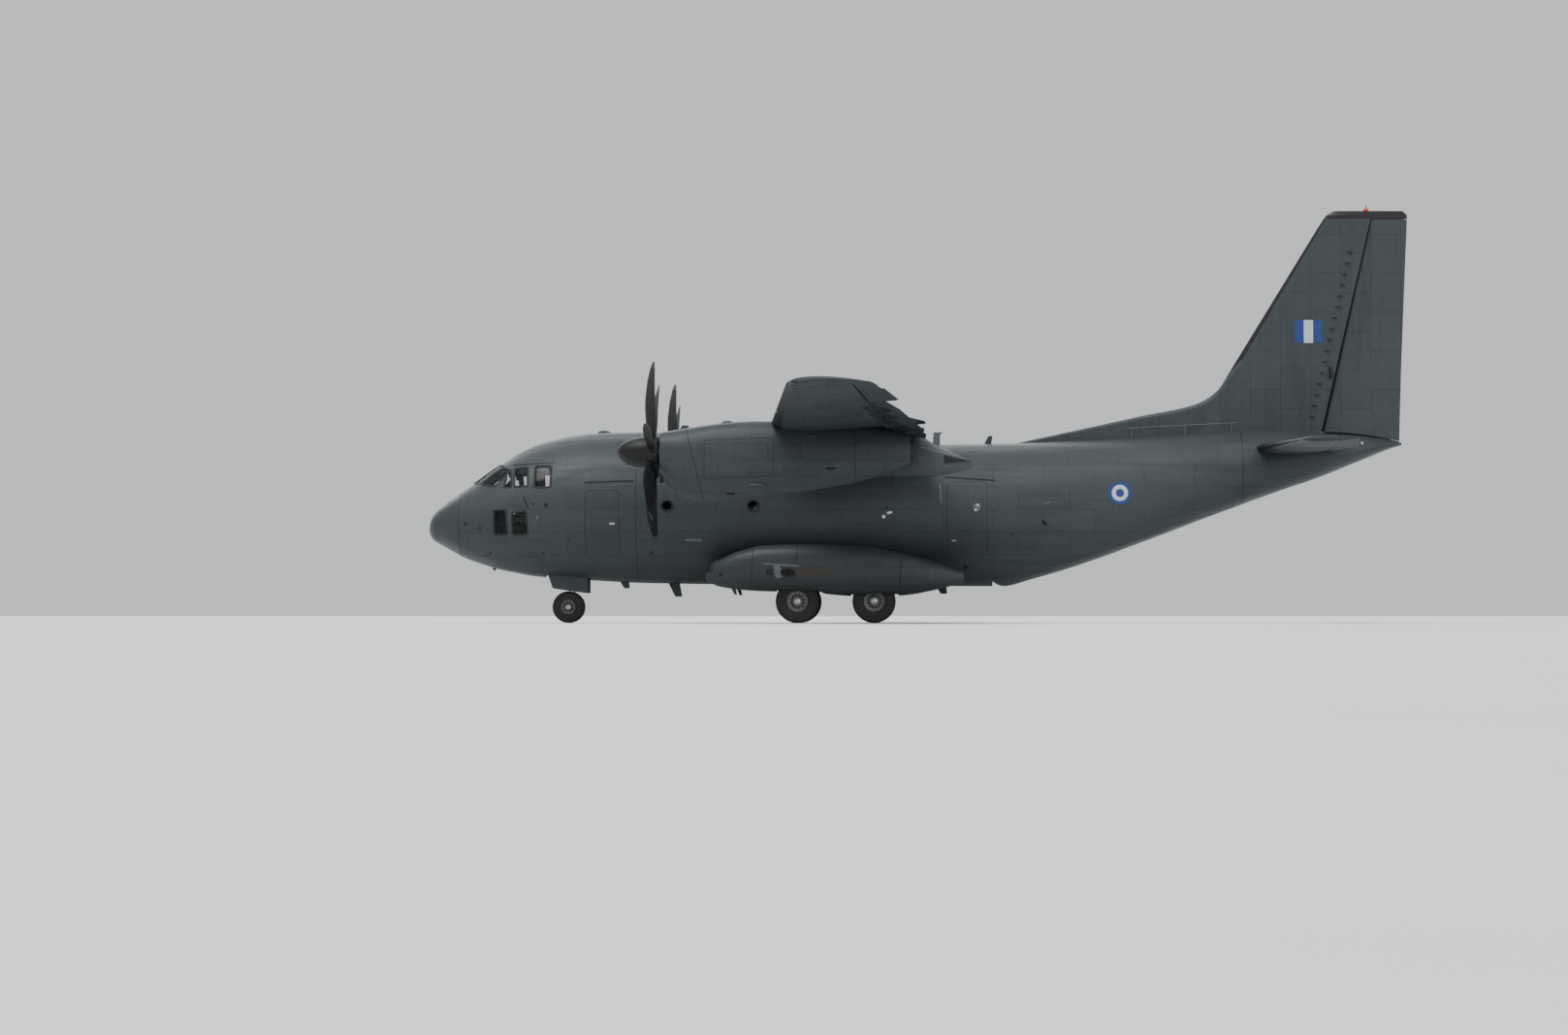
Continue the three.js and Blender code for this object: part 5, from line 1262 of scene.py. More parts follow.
def scoop(place, out, length, width):
    """A small streamlined inlet: half a teardrop that stands out from the skin, round ahead and fine behind."""
    out = unit(out)
    t = np.linspace(0, 1, 10)
    size = np.sqrt(t * (1 - t) ** 1.2) * 1.9 * width
    middle = np.asarray(place) + np.outer(t, AFT) * length * 2
    return grid(ovals(middle, np.cross(AFT, out), out, size / 2, size * 0.6, 12))


BLADE_CURVES = smooth_through(BLADE)


def blade_rings(r):
    """Sections of one blade: a thin lens with its thickest point a third back, set at its pitch and sweep."""
    t, r = full_turn(28), r[:, None]
    chord, thick, sweep, pitch = BLADE_CURVES(r)
    along = chord / 2 * np.cos(t) + sweep
    back = 0.5 + 0.5 * np.cos(t)
    off = thick / 2 * (np.sin(t) * (1 - 0.55 * back**1.5) * 1.12 + 0.12 * (1 - np.cos(t) ** 2))
    c, s = np.cos(np.radians(pitch)), np.sin(np.radians(pitch))
    return joined(along * s + off * c, off * s - along * c, r)


def blade_mark(middle):
    """The finish of a blade's face: the tip's, the de-icing strip's near the root's leading edge, or the blade's."""
    x, y, r = middle
    chord, _, sweep, pitch = BLADE_CURVES(r)
    pitch = math.radians(pitch)
    leads = x * math.sin(pitch) - y * math.cos(pitch) - sweep < -0.3 * chord
    return 2 if r < 1.15 and leads else int(r > 1.93)


def build_propellers():
    """Six scimitar blades with cuffs on a hub, and the spinner with its back plate."""
    radii = np.r_[np.linspace(0.12, 0.38, 5), np.linspace(0.45, 1.85, 18), np.linspace(1.9, 2.072, 8)]
    blade = grid(blade_rings(radii))
    blade = (*blade, [blade_mark(middle) for middle in middles(*blade)])
    cuff = turned([(0.13, 0.08), (0.2, 0.085), (0.3, 0.075), (0.33, 0.06)], (0, 0, 0), UP, 24)
    ring = [(0.325, 0.128), (0.352, 0.118), (0.352, 0.1), (0.325, 0.1)]
    ring = turned(ring, (0, 0, 0), UP, 28, loop=True)
    dome = [(4.68 - HUB_X + 0.645 * u, 0.345 * math.sqrt(1 - (1 - u) ** 2)) for u in np.linspace(0, 1, 22)]
    inside = [(x + 0.014, max(r - 0.014, 0)) for x, r in dome]
    profile = dome + [(0.02, 0.345), (0.13, 0.34), (0.145, 0.332), (0.145, 0.32), (0, 0.331)] + inside[::-1]
    band = [(-0.065, 0.346), (-0.055, 0.349), (-0.045, 0.346), (-0.055, 0.34)]
    for side, s in SIDES:
        centre = np.array([HUB_X, s * NACELLE_Y, HUB_Z])
        props, cone = Parts(), Parts().add(0, turned(profile, centre, AFT, 64))
        for k in range(6):

            def spun(points):
                return turned_about(points, np.zeros(3), AFT, BLADE_PHASE + k * PI / 3) + centre

            props.add(0, moved(blade, spun), inner=1).add(3, moved(cuff, spun))
            cone.add(1, moved(ring, spun))
        props.add(3, turned([(-0.15, 0.12), (-0.13, 0.17), (0.13, 0.17), (0.15, 0.12)], centre, AFT, 32))
        props.add(3, rod(centre + (0.1, 0, 0), (5.79, s * NACELLE_Y, HUB_Z), 0.088, 24))
        cone.add(1, turned(band, centre, AFT, 64, loop=True))
        body = "propeller_" + side
        make_piece("propeller_blades_" + side, props, "propeller_black blade_tip_paint boot_rubber bare_steel", body)
        make_piece("spinner_dome_" + side, cone, "propeller_black seal_black", body, "spinner_" + side)


# Undercarriage

POD_CURVES = smooth_through(POD)


def pod_point(x, a, inset=0):
    """A pod's skin at a station and a turn: a squarish superellipse between its four edges."""
    top, bottom, inner, outer = POD_CURVES(x)
    wide, high = (outer - inner) / 2 - inset, (top - bottom) / 2 - inset
    return squarish(x, a, (outer + inner) / 2, wide, (top + bottom) / 2, high, 3)


def pod_turn(x, y):
    """The turn at which a pod's underside has a distance from the centre plane."""
    _, _, inner, outer = POD_CURVES(x)
    return lower_turn((2 * y - outer - inner) / (outer - inner), 3)


def pod_side(x, z, side=1):
    """The turn at which a pod has a height on its outer side."""
    top, bottom, _, _ = POD_CURVES(x)
    return upper_turn((2 * z - top - bottom) / (top - bottom), 3, side)


def build_pods():
    """The pods beside the fuselage with their wheel wells, seams, inlets and the port exhaust."""
    (_, x0), (_, x1) = MAIN_WHEELS
    half, inner, outer, top = (WELL[key] for key in ("half", "inner", "outer", "top"))
    a, b, c, d = x0 - half, x0 + half, x1 - half, x1 + half
    corners = ((a, inner), (d, inner), (d, outer), (c, outer), (c, 1.63), (b, 1.63), (b, outer), (a, outer))
    path = rounded(corners, 0.04, 0.06)
    front, aft, cut = POD[0, 0], POD[-1, 0], PI * 0.999
    hole = joined(path[:, 0], pod_turn(*path.T))
    hole[:, 1] += np.where(hole[:, 1] < cut, 2 * PI, 0)
    points, faces = region(np.linspace(front, aft, 74), np.linspace(cut, cut + 2 * PI, 64), [hole])
    points, faces, marks = shell(*(pod_point(points[:, 0], points[:, 1], inset) for inset in (0, 0.02)), faces)
    skin, bay, dark, pale, darker = range(5)
    middle = middles(points, faces)
    # The pod's front above z -1.08 is near-black: painted shade for the inlet's opening
    inlet_shade = (middle[:, 0] < 6.66) & (middle[:, 2] > -1.08)
    body = (points, faces, np.where(inlet_shade, dark, marks).tolist())
    lining = joined(*path.T, 0)
    wide = (lining - lining.mean(0)) * (1.01, 1.03, 1) + lining.mean(0)
    rings = [lining + (0, 0, -1.4), lining + (0, 0, top), wide + (0, 0, top + 0.01), wide + (0, 0, -1.4)]
    c, s = np.cos(full_turn(32)), np.sin(full_turn(32))
    exhaust = seen_outline(joined(8.4 + 0.165 * c, -1.085 + 0.088 * s - 0.012 * c), pod_side)
    panels = [(rect(7.9, -1, 8.05, -1.14), darker), (rect(6.82, -1.1, 6.9, -1.16), dark)]
    port_panels = [
        (((8.06, -0.92), (8.22, -0.93), (8.28, -1.19), (8.12, -1.21)), pale),
        (((7.85, -0.86), (8.64, -0.92), (8.64, -0.955), (7.85, -0.895)), pale),
    ]
    for side, s in SIDES:
        pod = Parts(to_side(s)).add(skin, body, inner=bay)
        # The front end plate is near-black, painted shade for the inlet; the aft one takes the skin's paint
        for end, depth, finish in ((front, 0.02, dark), (aft, -0.02, skin)):
            pod.add(finish, plate(pod_point(end, full_turn(60)), (depth, 0, 0), 0))
        for x, high, low in ((7.58, -0.53, -1.33), (8.6, -0.45, -0.86), (10.95, -0.64, -1.45)):
            line = side_path(((x + 0.02, high), (x - 0.02, low)), pod_side, 1, 0.05)
            pod.add(darker, skin_bead(line, 0.018, 0.004, False, pod_point))
        line = side_path(((6.62, -1.06), (6.66, -0.86), (6.8, -0.8)), pod_side, 1, 0.04)
        pod.add(skin, skin_bead(line, 0.03, 0.015, False, pod_point))
        outlines = [(seen_outline(corners, pod_side, 1, 0.02, 0.05), finish)
                    for corners, finish in panels + port_panels * (s < 0)]
        # On the port side the exhaust's mouth is a near-black patch in a dark rim: its soot, and painted shade for the
        # opening
        if s < 0:
            outlines.append((exhaust, dark))
            pod.add(darker, skin_bead(exhaust, 0.03, 0.02, shape=pod_point))
        for outline, finish in outlines:
            pod.add(finish, skin_patch(outline, 0.005, -0.0015, 0.05, pod_point))
        pod.add(bay, grid(rings, loop=True), plate(rings[1], (0, 0, 0.012), 0.001))
        for x in (x0, x1):
            pod.add(darker, rod((x - 0.5, 1.46, top - 0.03), (x + 0.5, 1.46, top - 0.03), 0.014, 8))
            for rib in x + np.array([-0.35, 0, 0.35]):
                pod.add(bay, pillow((rib - 0.012, 1.42, top - 0.045), (rib + 0.012, 2.03, top), 0.004, 1))
        pod.add(skin, blade_aerial((7.14, 1.72, -1.43), (0, 0, -1), 0.15, 0.1))
        make_piece("pod_skin_" + side, pod, "pod_paint bay_primer vent_dark stencil_grey seam_grey",
                   nodes="gear_pod_" + side)


def tyre_profile(t, grooves):
    """Half a tyre's section, from one bead over the tread to the other, as offset along the axle and radius."""
    a = np.linspace(-1, 1, 61)
    u = np.sin(a * PI / 2)
    r = t["bead"] + (t["r"] - t["bead"]) * (1 - np.abs(a) ** 3.2) ** 0.62
    for g in grooves:
        r = r - 0.012 * np.exp(-(((u - g) / 0.035) ** 4))
    return joined(t["width"] / 2 * u * np.where(np.abs(a) > 0.985, 0.8, 1), r)


def build_wheels():
    """Tyres with grooved treads and forged rims with bolts, for the main legs and the nose."""
    for side, s in SIDES:
        for name, x in MAIN_WHEELS:
            place = "%s_%s" % (name, side)
            body = "main_wheel_" + place
            wheel((x, s * MAIN_Y, MAIN_Z), MAIN_TYRE, s, "main_" + place, body, "main_tyre_" + place, body, 0.058)
        wheel((NOSE_X0, s * NOSE_Y, NOSE_Z), NOSE_TYRE, s, "nose_" + side, "nose_wheel_pair", "nose_tyre_" + side, "",
              0.036)
    axle = Parts().add(0, rod((NOSE_X0, -0.27, NOSE_Z), (NOSE_X0, 0.27, NOSE_Z), 0.036, 24))
    nut = [(0, 0.05), (0.02, 0.055), (0.04, 0.045), (0.045, 0)]
    axle.both(0, turned(nut, (NOSE_X0, 0.27, NOSE_Z), STARBOARD, 24))
    make_piece("nose_axle", axle, "bare_steel", "nose_wheel_pair", "nose_wheels")


def wheel(at, size, s, name, body, tyre_node, rim_node, bore):
    """One tyre and its rim at a place on an axle along Y."""
    at, out = np.array(at), (0, s, 0)
    section = tyre_profile(size, (-0.45, -0.15, 0.15, 0.45))
    inner = [(size["width"] * 0.38, size["bead"]), (-size["width"] * 0.38, size["bead"])]
    tyre = Parts().add(0, turned(np.r_[section, inner], at, STARBOARD, 72, loop=True))
    make_piece(name + "_tyre_rubber", tyre, "tyre_rubber", body, tyre_node, 40)
    w, r = size["width"] / 2, size["bead"] - 0.001
    profile = np.array((
        (-0.5, bore), (-0.42, bore + 0.05), (-0.3, r - 0.06), (-0.34, r - 0.03), (-0.8, r - 0.02), (-0.84, r - 0.008),
        (-0.82, r), (0.82, r), (0.84, r - 0.008), (0.78, r - 0.02), (0.42, r - 0.03), (0.34, r - 0.05),
        (0.3, r * 0.66), (0.42, r * 0.52), (0.62, bore + 0.045), (0.7, bore + 0.03), (0.72, bore),
    ))
    rim = Parts().add(0, turned(profile * (w * s, 1), at, STARBOARD, 64, loop=True))
    count = 12 if size["r"] > 0.4 else 9
    for share, depth, shift, sides, finish, bolt in (
        (0.82, 0.3, 0, 8, 1, [(0, 0.011), (0.012, 0.011), (0.016, 0.007), (0.016, 0)]),
        (0.6, 0.36, 0.5, 12, 2, [(-0.01, 0.02), (0.004, 0.022), (0.006, 0.018), (0.003, 0)]),
    ):
        for a in full_turn(count) + shift * 2 * PI / count:
            spot = at + (math.cos(a) * r * share, s * w * depth, math.sin(a) * r * share)
            rim.add(finish, turned(bolt, spot, out, sides))
    cap = [(w * 0.5, 0), (w * 0.5, bore + 0.02), (w * 0.86, bore + 0.012), (w * 0.93, bore * 0.6), (w * 0.95, 0)]
    rim.add(1, turned(cap, at, out, 32))
    make_piece(name + "_rim", rim, "rim_paint bare_steel vent_dark", body, rim_node)


def link(start, end, y, width):
    """One arm of a torque link: a plate between two places, each given by x and its lowest and highest z."""
    (xa, low_a, high_a), (xb, low_b, high_b) = start, end
    return plate([(xa, y, low_a), (xa, y, high_a), (xb, y, high_b), (xb, y, low_b)], (0, width, 0))


def build_main_legs():
    """Main legs: a beam in the pod, two oleo legs a side with stub axles, links, brake packs and pipes."""
    paint, chrome, steel, hose = range(4)
    brake = [(0, 0.1), (0, 0.185), (0.012, 0.19), (0.045, 0.19), (0.05, 0.18), (0.05, 0.1)]
    for side, s in SIDES:
        y = s * LEG_Y
        leg = Parts().add(paint, pillow((8.5, y - 0.06, -1.42), (10.45, y + 0.06, -1.175), 0.02))
        for _, x in MAIN_WHEELS:
            fore = x - 0.15
            leg.add(
                paint,
                rod((x, y, -1.66), (x, y, -1.2), 0.082, 28),
                turned([(0, 0.095), (0.015, 0.1), (0.05, 0.1), (0.065, 0.085)], (x, y, -1.46), UP, 28),
                turned([(-0.08, 0.05), (-0.07, 0.078), (0.07, 0.078), (0.08, 0.05)], (x, y, MAIN_Z), STARBOARD, 24),
                pillow((x - 0.03, s * 1.52, MAIN_Z - 0.09), (x + 0.03, s * 1.61, MAIN_Z + 0.09)),
                link((x - 0.07, -1.49, -1.44), (fore, -1.65, -1.6), y - 0.02, 0.04),
                link((x - 0.05, -1.78, -1.73), (fore, -1.65, -1.6), y - 0.02, 0.04),
            )
            leg.add(
                chrome,
                rod((x, y, -1.79), (x, y, -1.62), 0.058, 24),
                rod((x, y, MAIN_Z), (x, s * 1.97, MAIN_Z), 0.05, 24),
                rod((fore, y - 0.04, -1.625), (fore, y + 0.04, -1.625), 0.016, 12),
            )
            leg.add(steel, turned(brake, (x, s * 1.6, MAIN_Z), (0, s, 0), 36, loop=True))
            t = np.linspace(0, 1, 14)
            bend = x + 0.1 + 0.03 * np.sin(t * PI) - 0.07 * t**2
            leg.add(hose, tube(joined(bend, y + s * 0.02, -1.3 - 0.42 * t), 0.008, 8))
        for x, x1 in ((8.75, 9.45), (10.2, 9.5)):
            leg.add(chrome, rod((x, y, -1.4), (x1, y, -1.32), 0.03))
        make_piece("main_legs_" + side, leg, "leg_paint polished_piston bare_steel hose_black",
                   nodes="main_gear_" + side)


def build_nose_leg():
    """Nose leg in its bay: cylinder, brace and jack; the steered fork; the bay's lining and its two doors."""
    paint, chrome, steel, lamp, hose = range(5)
    x = NOSE_X0
    leg = Parts().add(
        paint,
        rod((x, 0, -1.35), (x, 0, -0.37), 0.085, 32),
        turned([(0, 0.09), (0.01, 0.102), (0.06, 0.102), (0.075, 0.088)], (x, 0, -1.34), UP, 32),
        rod((x, 0, -1.02), (3, 0, -0.79), 0.04),
    )
    leg.add(steel, turned([(0, 0.088), (0.02, 0.108), (0.1, 0.108), (0.12, 0.088)], (x, 0, -1.12), UP, 32))
    leg.add(chrome, rod((x - 0.05, 0, -1.02), (2.82, 0, -0.6), 0.03))
    leg.both(paint, rod((x, 0.07, -1.08), (2.82, 0.07, -0.56), 0.024, 14),
             rod((x + 0.02, 0.115, -1.25), (x + 0.02, 0.115, -1.05), 0.024, 14))
    bowl = [(-0.01, 0), (-0.01, 0.036), (0.035, 0.036), (0.04, 0)]
    leg.both(lamp, turned(bowl, (x - 0.09, 0.1035, -1.16), (-1, 0, 0), 20))
    t = np.linspace(0, 1, 12)
    for y in (-0.03, 0.03):
        leg.add(hose, tube(joined(x + 0.095 + 0.02 * np.sin(t * 7), y, -0.6 - 0.7 * t), 0.007, 8))
    make_piece("nose_leg_cylinder", leg, "leg_paint polished_piston bare_steel lamp_glass hose_black",
               nodes="nose_strut")

    back = x + 0.19
    hub = [(-0.055, 0.04), (-0.055, 0.07), (-0.045, 0.076), (0.045, 0.076), (0.055, 0.07), (0.055, 0.04)]
    fork = Parts().add(
        paint,
        turned([(0, 0.09), (0.01, 0.105), (0.08, 0.105), (0.095, 0.09)], (x, 0, -1.448), UP, 32),
        turned(hub, (x, 0, NOSE_Z), STARBOARD, 28, loop=True),
        link((x + 0.08, -1.455, -1.405), (back, -1.618, -1.582), -0.03, 0.06),
        link((x + 0.06, -1.865, -1.815), (back, -1.638, -1.602), -0.03, 0.06),
    )
    fork.add(chrome, rod((x, 0, NOSE_Z + 0.03), (x, 0, -1.4), 0.055, 28),
             rod((back, -0.045, -1.61), (back, 0.045, -1.61), 0.015, 12))
    make_piece("nose_fork_piece", fork, "leg_paint polished_piston", "nose_leg", "nose_fork")

    path = rounded(NOSE_BAY, 0.03, 0.09)
    low = joined(*path.T, belly(*path.T) + 0.03)
    high = joined(*path.T, -0.4)
    centre = np.array([3.23, 0, 0])
    wide_high, wide_low = ((ring - centre) * (1.015, 1.04, 1) + centre for ring in (high, low))
    bay = Parts().add(0, grid([low, high, wide_high, wide_low], loop=True), plate(high, (0, 0, 0.012), 0.001))
    for x in (2.95, 3.5):
        bay.add(0, pillow((x - 0.015, -0.39, -0.46), (x + 0.015, 0.39, -0.4), 0.006))
    for y in (-0.36, 0.36):
        bay.add(1, tube([(2.75, y, -0.7), (3, y, -0.68), (3.4, y, -0.7), (3.7, y, -0.66)], 0.012, 8))
    make_piece("nose_bay_lining", bay, "bay_primer bare_steel")
    shape = rounded(((2.76, -1.02), (3.72, -1.02), (3.72, -1.545), (2.9, -1.43)), 0.04, 0.2)
    outline = joined(shape[:, 0], 0.415, shape[:, 1])
    for side, s in SIDES:
        door = Parts(to_side(s)).add(0, plate(outline, (0, 0.03, 0), 0.008))
        for x in (2.95, 3.25, 3.55):
            door.add(1, pillow((x - 0.015, 0.37, -1.28), (x + 0.015, 0.42, -1.14)))
        door.add(1, rod((3.25, 0.09, -1), (3.25, 0.41, -1.34), 0.011, 10))
        make_piece("nose_gear_door_panel_" + side, door, "fuselage_paint bare_steel",
                   nodes="nose_gear_door_" + side)


# Inside


def build_flight_deck():
    """Floor, rear partition with its doorway, two padded seats, instrument panel, pedestal and yokes."""
    lining, floor, cloth, black, strap, steel, dark = range(7)
    xs = np.linspace(0.9, PARTITION_X, 30)
    _, mid, bottom, half, _ = hull_section(xs)
    inner = (half - WALL - 0.004) * np.sqrt(np.clip(1 - ((-0.33 - mid) / (mid - bottom - WALL)) ** 2, 0, 1))
    edge = joined(xs, inner, -0.36)
    deck = Parts().add(floor, plate(np.r_[edge * (1, -1, 1), edge[::-1]], (0, 0, 0.06), 0.001))
    ring = hull(PARTITION_X, full_turn(72), WALL + 0.004)[:, 1:]
    door = rounded(rect(-0.33, -0.28, 0.33, 1.6), 0.08, 0.15)
    points, faces = region(np.linspace(-1.7, 1.7, 20), np.linspace(-1.2, 2.15, 20), [door], ring)
    deck.add(lining, shell(upright(points, PARTITION_X), upright(points, PARTITION_X + 0.06), faces))
    for y in (-0.56, 0.56):
        back = pillow((2.24, y - 0.24, 0.14), (2.37, y + 0.24, 0.92), 0.055, 4)
        deck.add(
            cloth,
            pillow((1.88, y - 0.24, 0.08), (2.36, y + 0.24, 0.2), 0.05, 4),
            moved(back, lambda p: p + np.outer((p[:, 2] - 0.14) * 0.16, (1, 0, 0))),
            pillow((2.38, y - 0.13, 0.93), (2.47, y + 0.13, 1.12), 0.04, 4),
        )
        for d in (-0.09, 0.09):
            belt = [(2.26, y + d, 0.2), (2.25, y + d, 0.5), (2.33, y + d, 0.9)]
            deck.add(strap, bead(belt, np.tile([-1, 0, 0], (3, 1)), 0.045, 0.008, False))
        t = np.linspace(0.6, 2 * PI - 0.6, 18)
        yoke = joined(1.66 + 0.02 * np.cos(t), y + 0.16 * np.sin(t), 0.56 + 0.11 * np.cos(t))
        deck.add(
            black,
            pillow((1.95, y - 0.16, -0.3), (2.3, y + 0.16, 0.09), 0.03),
            *(pillow((2, y + d - 0.025, 0.32), (2.36, y + d + 0.025, 0.36), 0.012) for d in (-0.27, 0.27)),
            tube(yoke, 0.014, 8),
            rod((1.66, y, 0.48), (1.66, y, -0.3), 0.025, 12),
        )
    pedestal = ((1.38, -0.31), (2.2, -0.31), (2.2, 0.26), (1.7, 0.34), (1.38, 0.6))
    panel = ((1.36, 0.34), (1.44, 0.32), (1.5, 0.78), (1.56, 0.81), (1.56, 0.84), (1.36, 0.83))
    for corners, half in ((pedestal, 0.19), (panel, 0.86)):
        deck.add(black, plate([(x, -half, z) for x, z in corners], (0, 2 * half, 0), 0.01))
    for k in range(4):
        y = -0.06 + 0.04 * k
        deck.add(steel, rod((1.74 + 0.03 * k, y, 0.32), (1.7 + 0.03 * k, y, 0.46), 0.009, 8))
    for y in (-0.7, -0.48, -0.14, 0.14, 0.48, 0.7):
        deck.add(dark, pillow((1.455, y - 0.085, 0.48), (1.475, y + 0.085, 0.66), 0.006, 1))
    deck.add(black, pillow((1.9, -0.25, 1.45), (2.5, 0.25, 1.52), 0.02))
    make_piece("flight_deck_fittings", deck,
               "lining_cloth floor_metal seat_cloth panel_black stencil_grey bare_steel vent_dark",
               nodes="flight_deck")


# Small fittings and markings


def build_hold():
    """Rails and lashing rings on the hold's floor, and the folding seats along its walls."""
    metal, cloth, steel = range(3)
    hold = Parts()
    for y in (0.25, 0.75):
        hold.both(metal, pillow((3.9, y - 0.04, -0.701), (13, y + 0.04, -0.692), 0.004, 1))
    t = np.linspace(0, PI, 8)
    for x in np.arange(4.2, 13, 0.5):
        ring = joined(x + 0.028 * np.cos(t), 1.08, -0.684 + 0.028 * np.sin(t))
        dish = turned([(0, 0.035), (0.006, 0.035), (0.008, 0.02), (0.008, 0)], (x, 1.08, FLOOR_Z), UP, 12)
        hold.both(metal, dish, tube(ring, 0.005, 6))
    for x in np.arange(4.1, 11.4, 0.62):
        hold.both(cloth, pillow((x, 1.1, -0.28), (x + 0.56, 1.52, -0.24), 0.018),
                  pillow((x, 1.53, -0.22), (x + 0.56, 1.56, 0.35), 0.014))
        hold.both(steel, rod((x + 0.28, 1.12, -0.27), (x + 0.28, 1.12, -0.69), 0.012, 8))
    hold.both(steel, rod((4.1, 1.1, -0.26), (11.8, 1.1, -0.26), 0.016, 10),
              rod((4.1, 1.55, 0.36), (11.8, 1.55, 0.36), 0.014, 10))
    make_piece("hold_fittings", hold, "floor_metal seat_cloth bare_steel")


def blade_aerial(place, out, height, chord, thick=0.012, sweep=0.35):
    """A blade aerial: a lens section that shrinks and leans aft as it goes out, more so near its tip."""
    out = unit(out)
    u = np.array([-0.05, 0, 0.3, 0.6, 0.85, 0.97, 1])
    rise = np.maximum(u, 0)
    size = 1 - 0.35 * rise - 0.75 * np.maximum(u - 0.9, 0)
    middle = np.outer(u, out) * height + np.outer(rise, AFT) * sweep * height + place
    return grid(ovals(middle, AFT, unit(np.cross(out, AFT)), chord / 2 * size, thick * size, 16))


def build_fittings():
    """Aerials, probes, wipers, lights, gutters, vents, fairings and static wicks."""
    skin, seal, dark, red, lamp, green, darker, white, pale = range(9)
    kit = Parts()

    def crown(x):
        return float(hull_section(x)[0])

    kit.add(skin, scoop((3.9, 0, crown(3.95) - 0.005), UP, 0.17, 0.13))
    for x, height, chord in ((5.9, 0.16, 0.24), (12.98, 0.19, 0.16)):
        kit.add(skin, blade_aerial((x, 0, crown(x)), UP, height, chord))
    for x, height, chord in ((5.7, 0.3, 0.26), (4.55, 0.14, 0.2), (11.9, 0.18, 0.24), (1.5, 0.06, 0.09)):
        kit.add(skin, blade_aerial((x, 0, float(hull_section(x)[2])), (0, 0, -1), height, chord))
    mast = [(11.7, 1.86), (11.87, 1.86), (11.88, 2.14), (11.93, 2.185), (11.93, 2.2), (11.73, 2.2), (11.72, 2.15)]
    kit.add(pale, plate([(x, -0.015, z) for x, z in mast], (0, 0.03, 0), 0.006))
    for x in (0.752, 4.9, 18.8):
        kit.add(darker, skin_bead(skin_outline(x, full_turn(90)), 0.014, 0.0025))
    for s in (-1, 1):
        for x, z in ((1.5, -0.62), (1.28, -0.05)):
            p, n = spot_on(hull, turn_on_side, x, z, s)
            probe = [p - n * 0.01, p + n * 0.06, p + n * 0.075 - (0.03, 0, 0), p + n * 0.075 - (0.16, 0, 0)]
            kit.add(darker, tube(probe, [0.014, 0.011, 0.009, 0.006], 10))
        x, turn = turn_ahead(np.linspace(0.1, 0.42, 6) * s, np.linspace(1, 1.3, 6))
        kit.add(seal, tube(hull(x, turn) + normal_of(hull, x, turn) * 0.02, 0.007, 6))
        for line, wide, high in (
            (((3.72, 0.99), (4.85, 1.03)), 0.016, 0.024),
            (((11.97, 1.105), (13.1, 1.03)), 0.016, 0.024),
            (((2.02, 1.42), (2.98, 1.46)), 0.02, 0.014),
        ):
            kit.add(skin, skin_bead(side_path(line, turn_on_side, s), wide, high, False))
        for x, z, r, finish in (
            (2.75, -0.62, 0.03, darker), (3.35, -0.3, 0.025, darker), (12.45, -0.95, 0.06, darker),
            # The white disc at x 10.57 is a painted glint
            (10.57, 0.2, 0.042, white), (10.64, 0.41, 0.03, darker), (0.93, 0.05, 0.035, darker),
            (2.54, 0.5, 0.03, darker), (2.84, 0.47, 0.055, darker), (2.635, 0.19, 0.026, pale),
            (21.6, 1.92, 0.03, lamp), (13.5, -0.2, 0.03, darker), (5.25, -0.62, 0.04, darker),
        ):
            kit.add(finish, skin_patch(ring_outline(x, z, r, s, 14), 0.005, -0.001, 0.05))
        for finish, *corners in (
            (darker, (2.29, 0.66), (2.33, 0.66), (2.43, 0.41), (2.385, 0.41)),
            (pale, (14.21, 0.5), (14.38, 0.515), (14.38, 0.535), (14.21, 0.52)),
            (dark, (14.17, 0.13), (14.21, 0.12), (14.32, 0.02), (14.25, 0), (14.19, 0.04)),
            (pale, (11.835, 0.94), (11.87, 0.94), (11.9, 0.51), (11.87, 0.51)),
            (pale, (6.02, -0.3), (6.42, -0.31), (6.42, -0.36), (6.02, -0.35)),
            # The white patch at x 10.63 to 10.77 is a painted glint
            (white, (10.63, 0.3), (10.76, 0.33), (10.77, 0.28), (10.66, 0.25)),
        ):
            kit.add(finish, skin_patch(side_outline(corners, s, 0.012), 0.004, -0.001, 0.06))
        for rows, count, first, gap, camber in ((WING, 5, 10.6, 0.75, CAMBER), (TAILPLANE, 4, 2.2, 0.95, 0)):
            for span in first + gap * np.arange(count):
                x, _, low, z = surface(rows, span, 1, camber)
                kit.add(seal, rod((x - 0.01, s * span, z + low), (x + 0.1, s * span, z + low - 0.01), 0.004, 6))
        le, _, plane, _ = row_at(WING, 8)
        bulb = [(-0.014, 0), (-0.011, 0.03), (0, 0.05), (0.03, 0.068), (0.06, 0.07)]
        kit.add(lamp, turned(bulb, (le, s * 8, plane + 0.01), AFT, 20))
        kit.add(red if s < 0 else green, scoop((9.02, s * 14.3, 2.63), (0, s, 0), 0.12, 0.07))
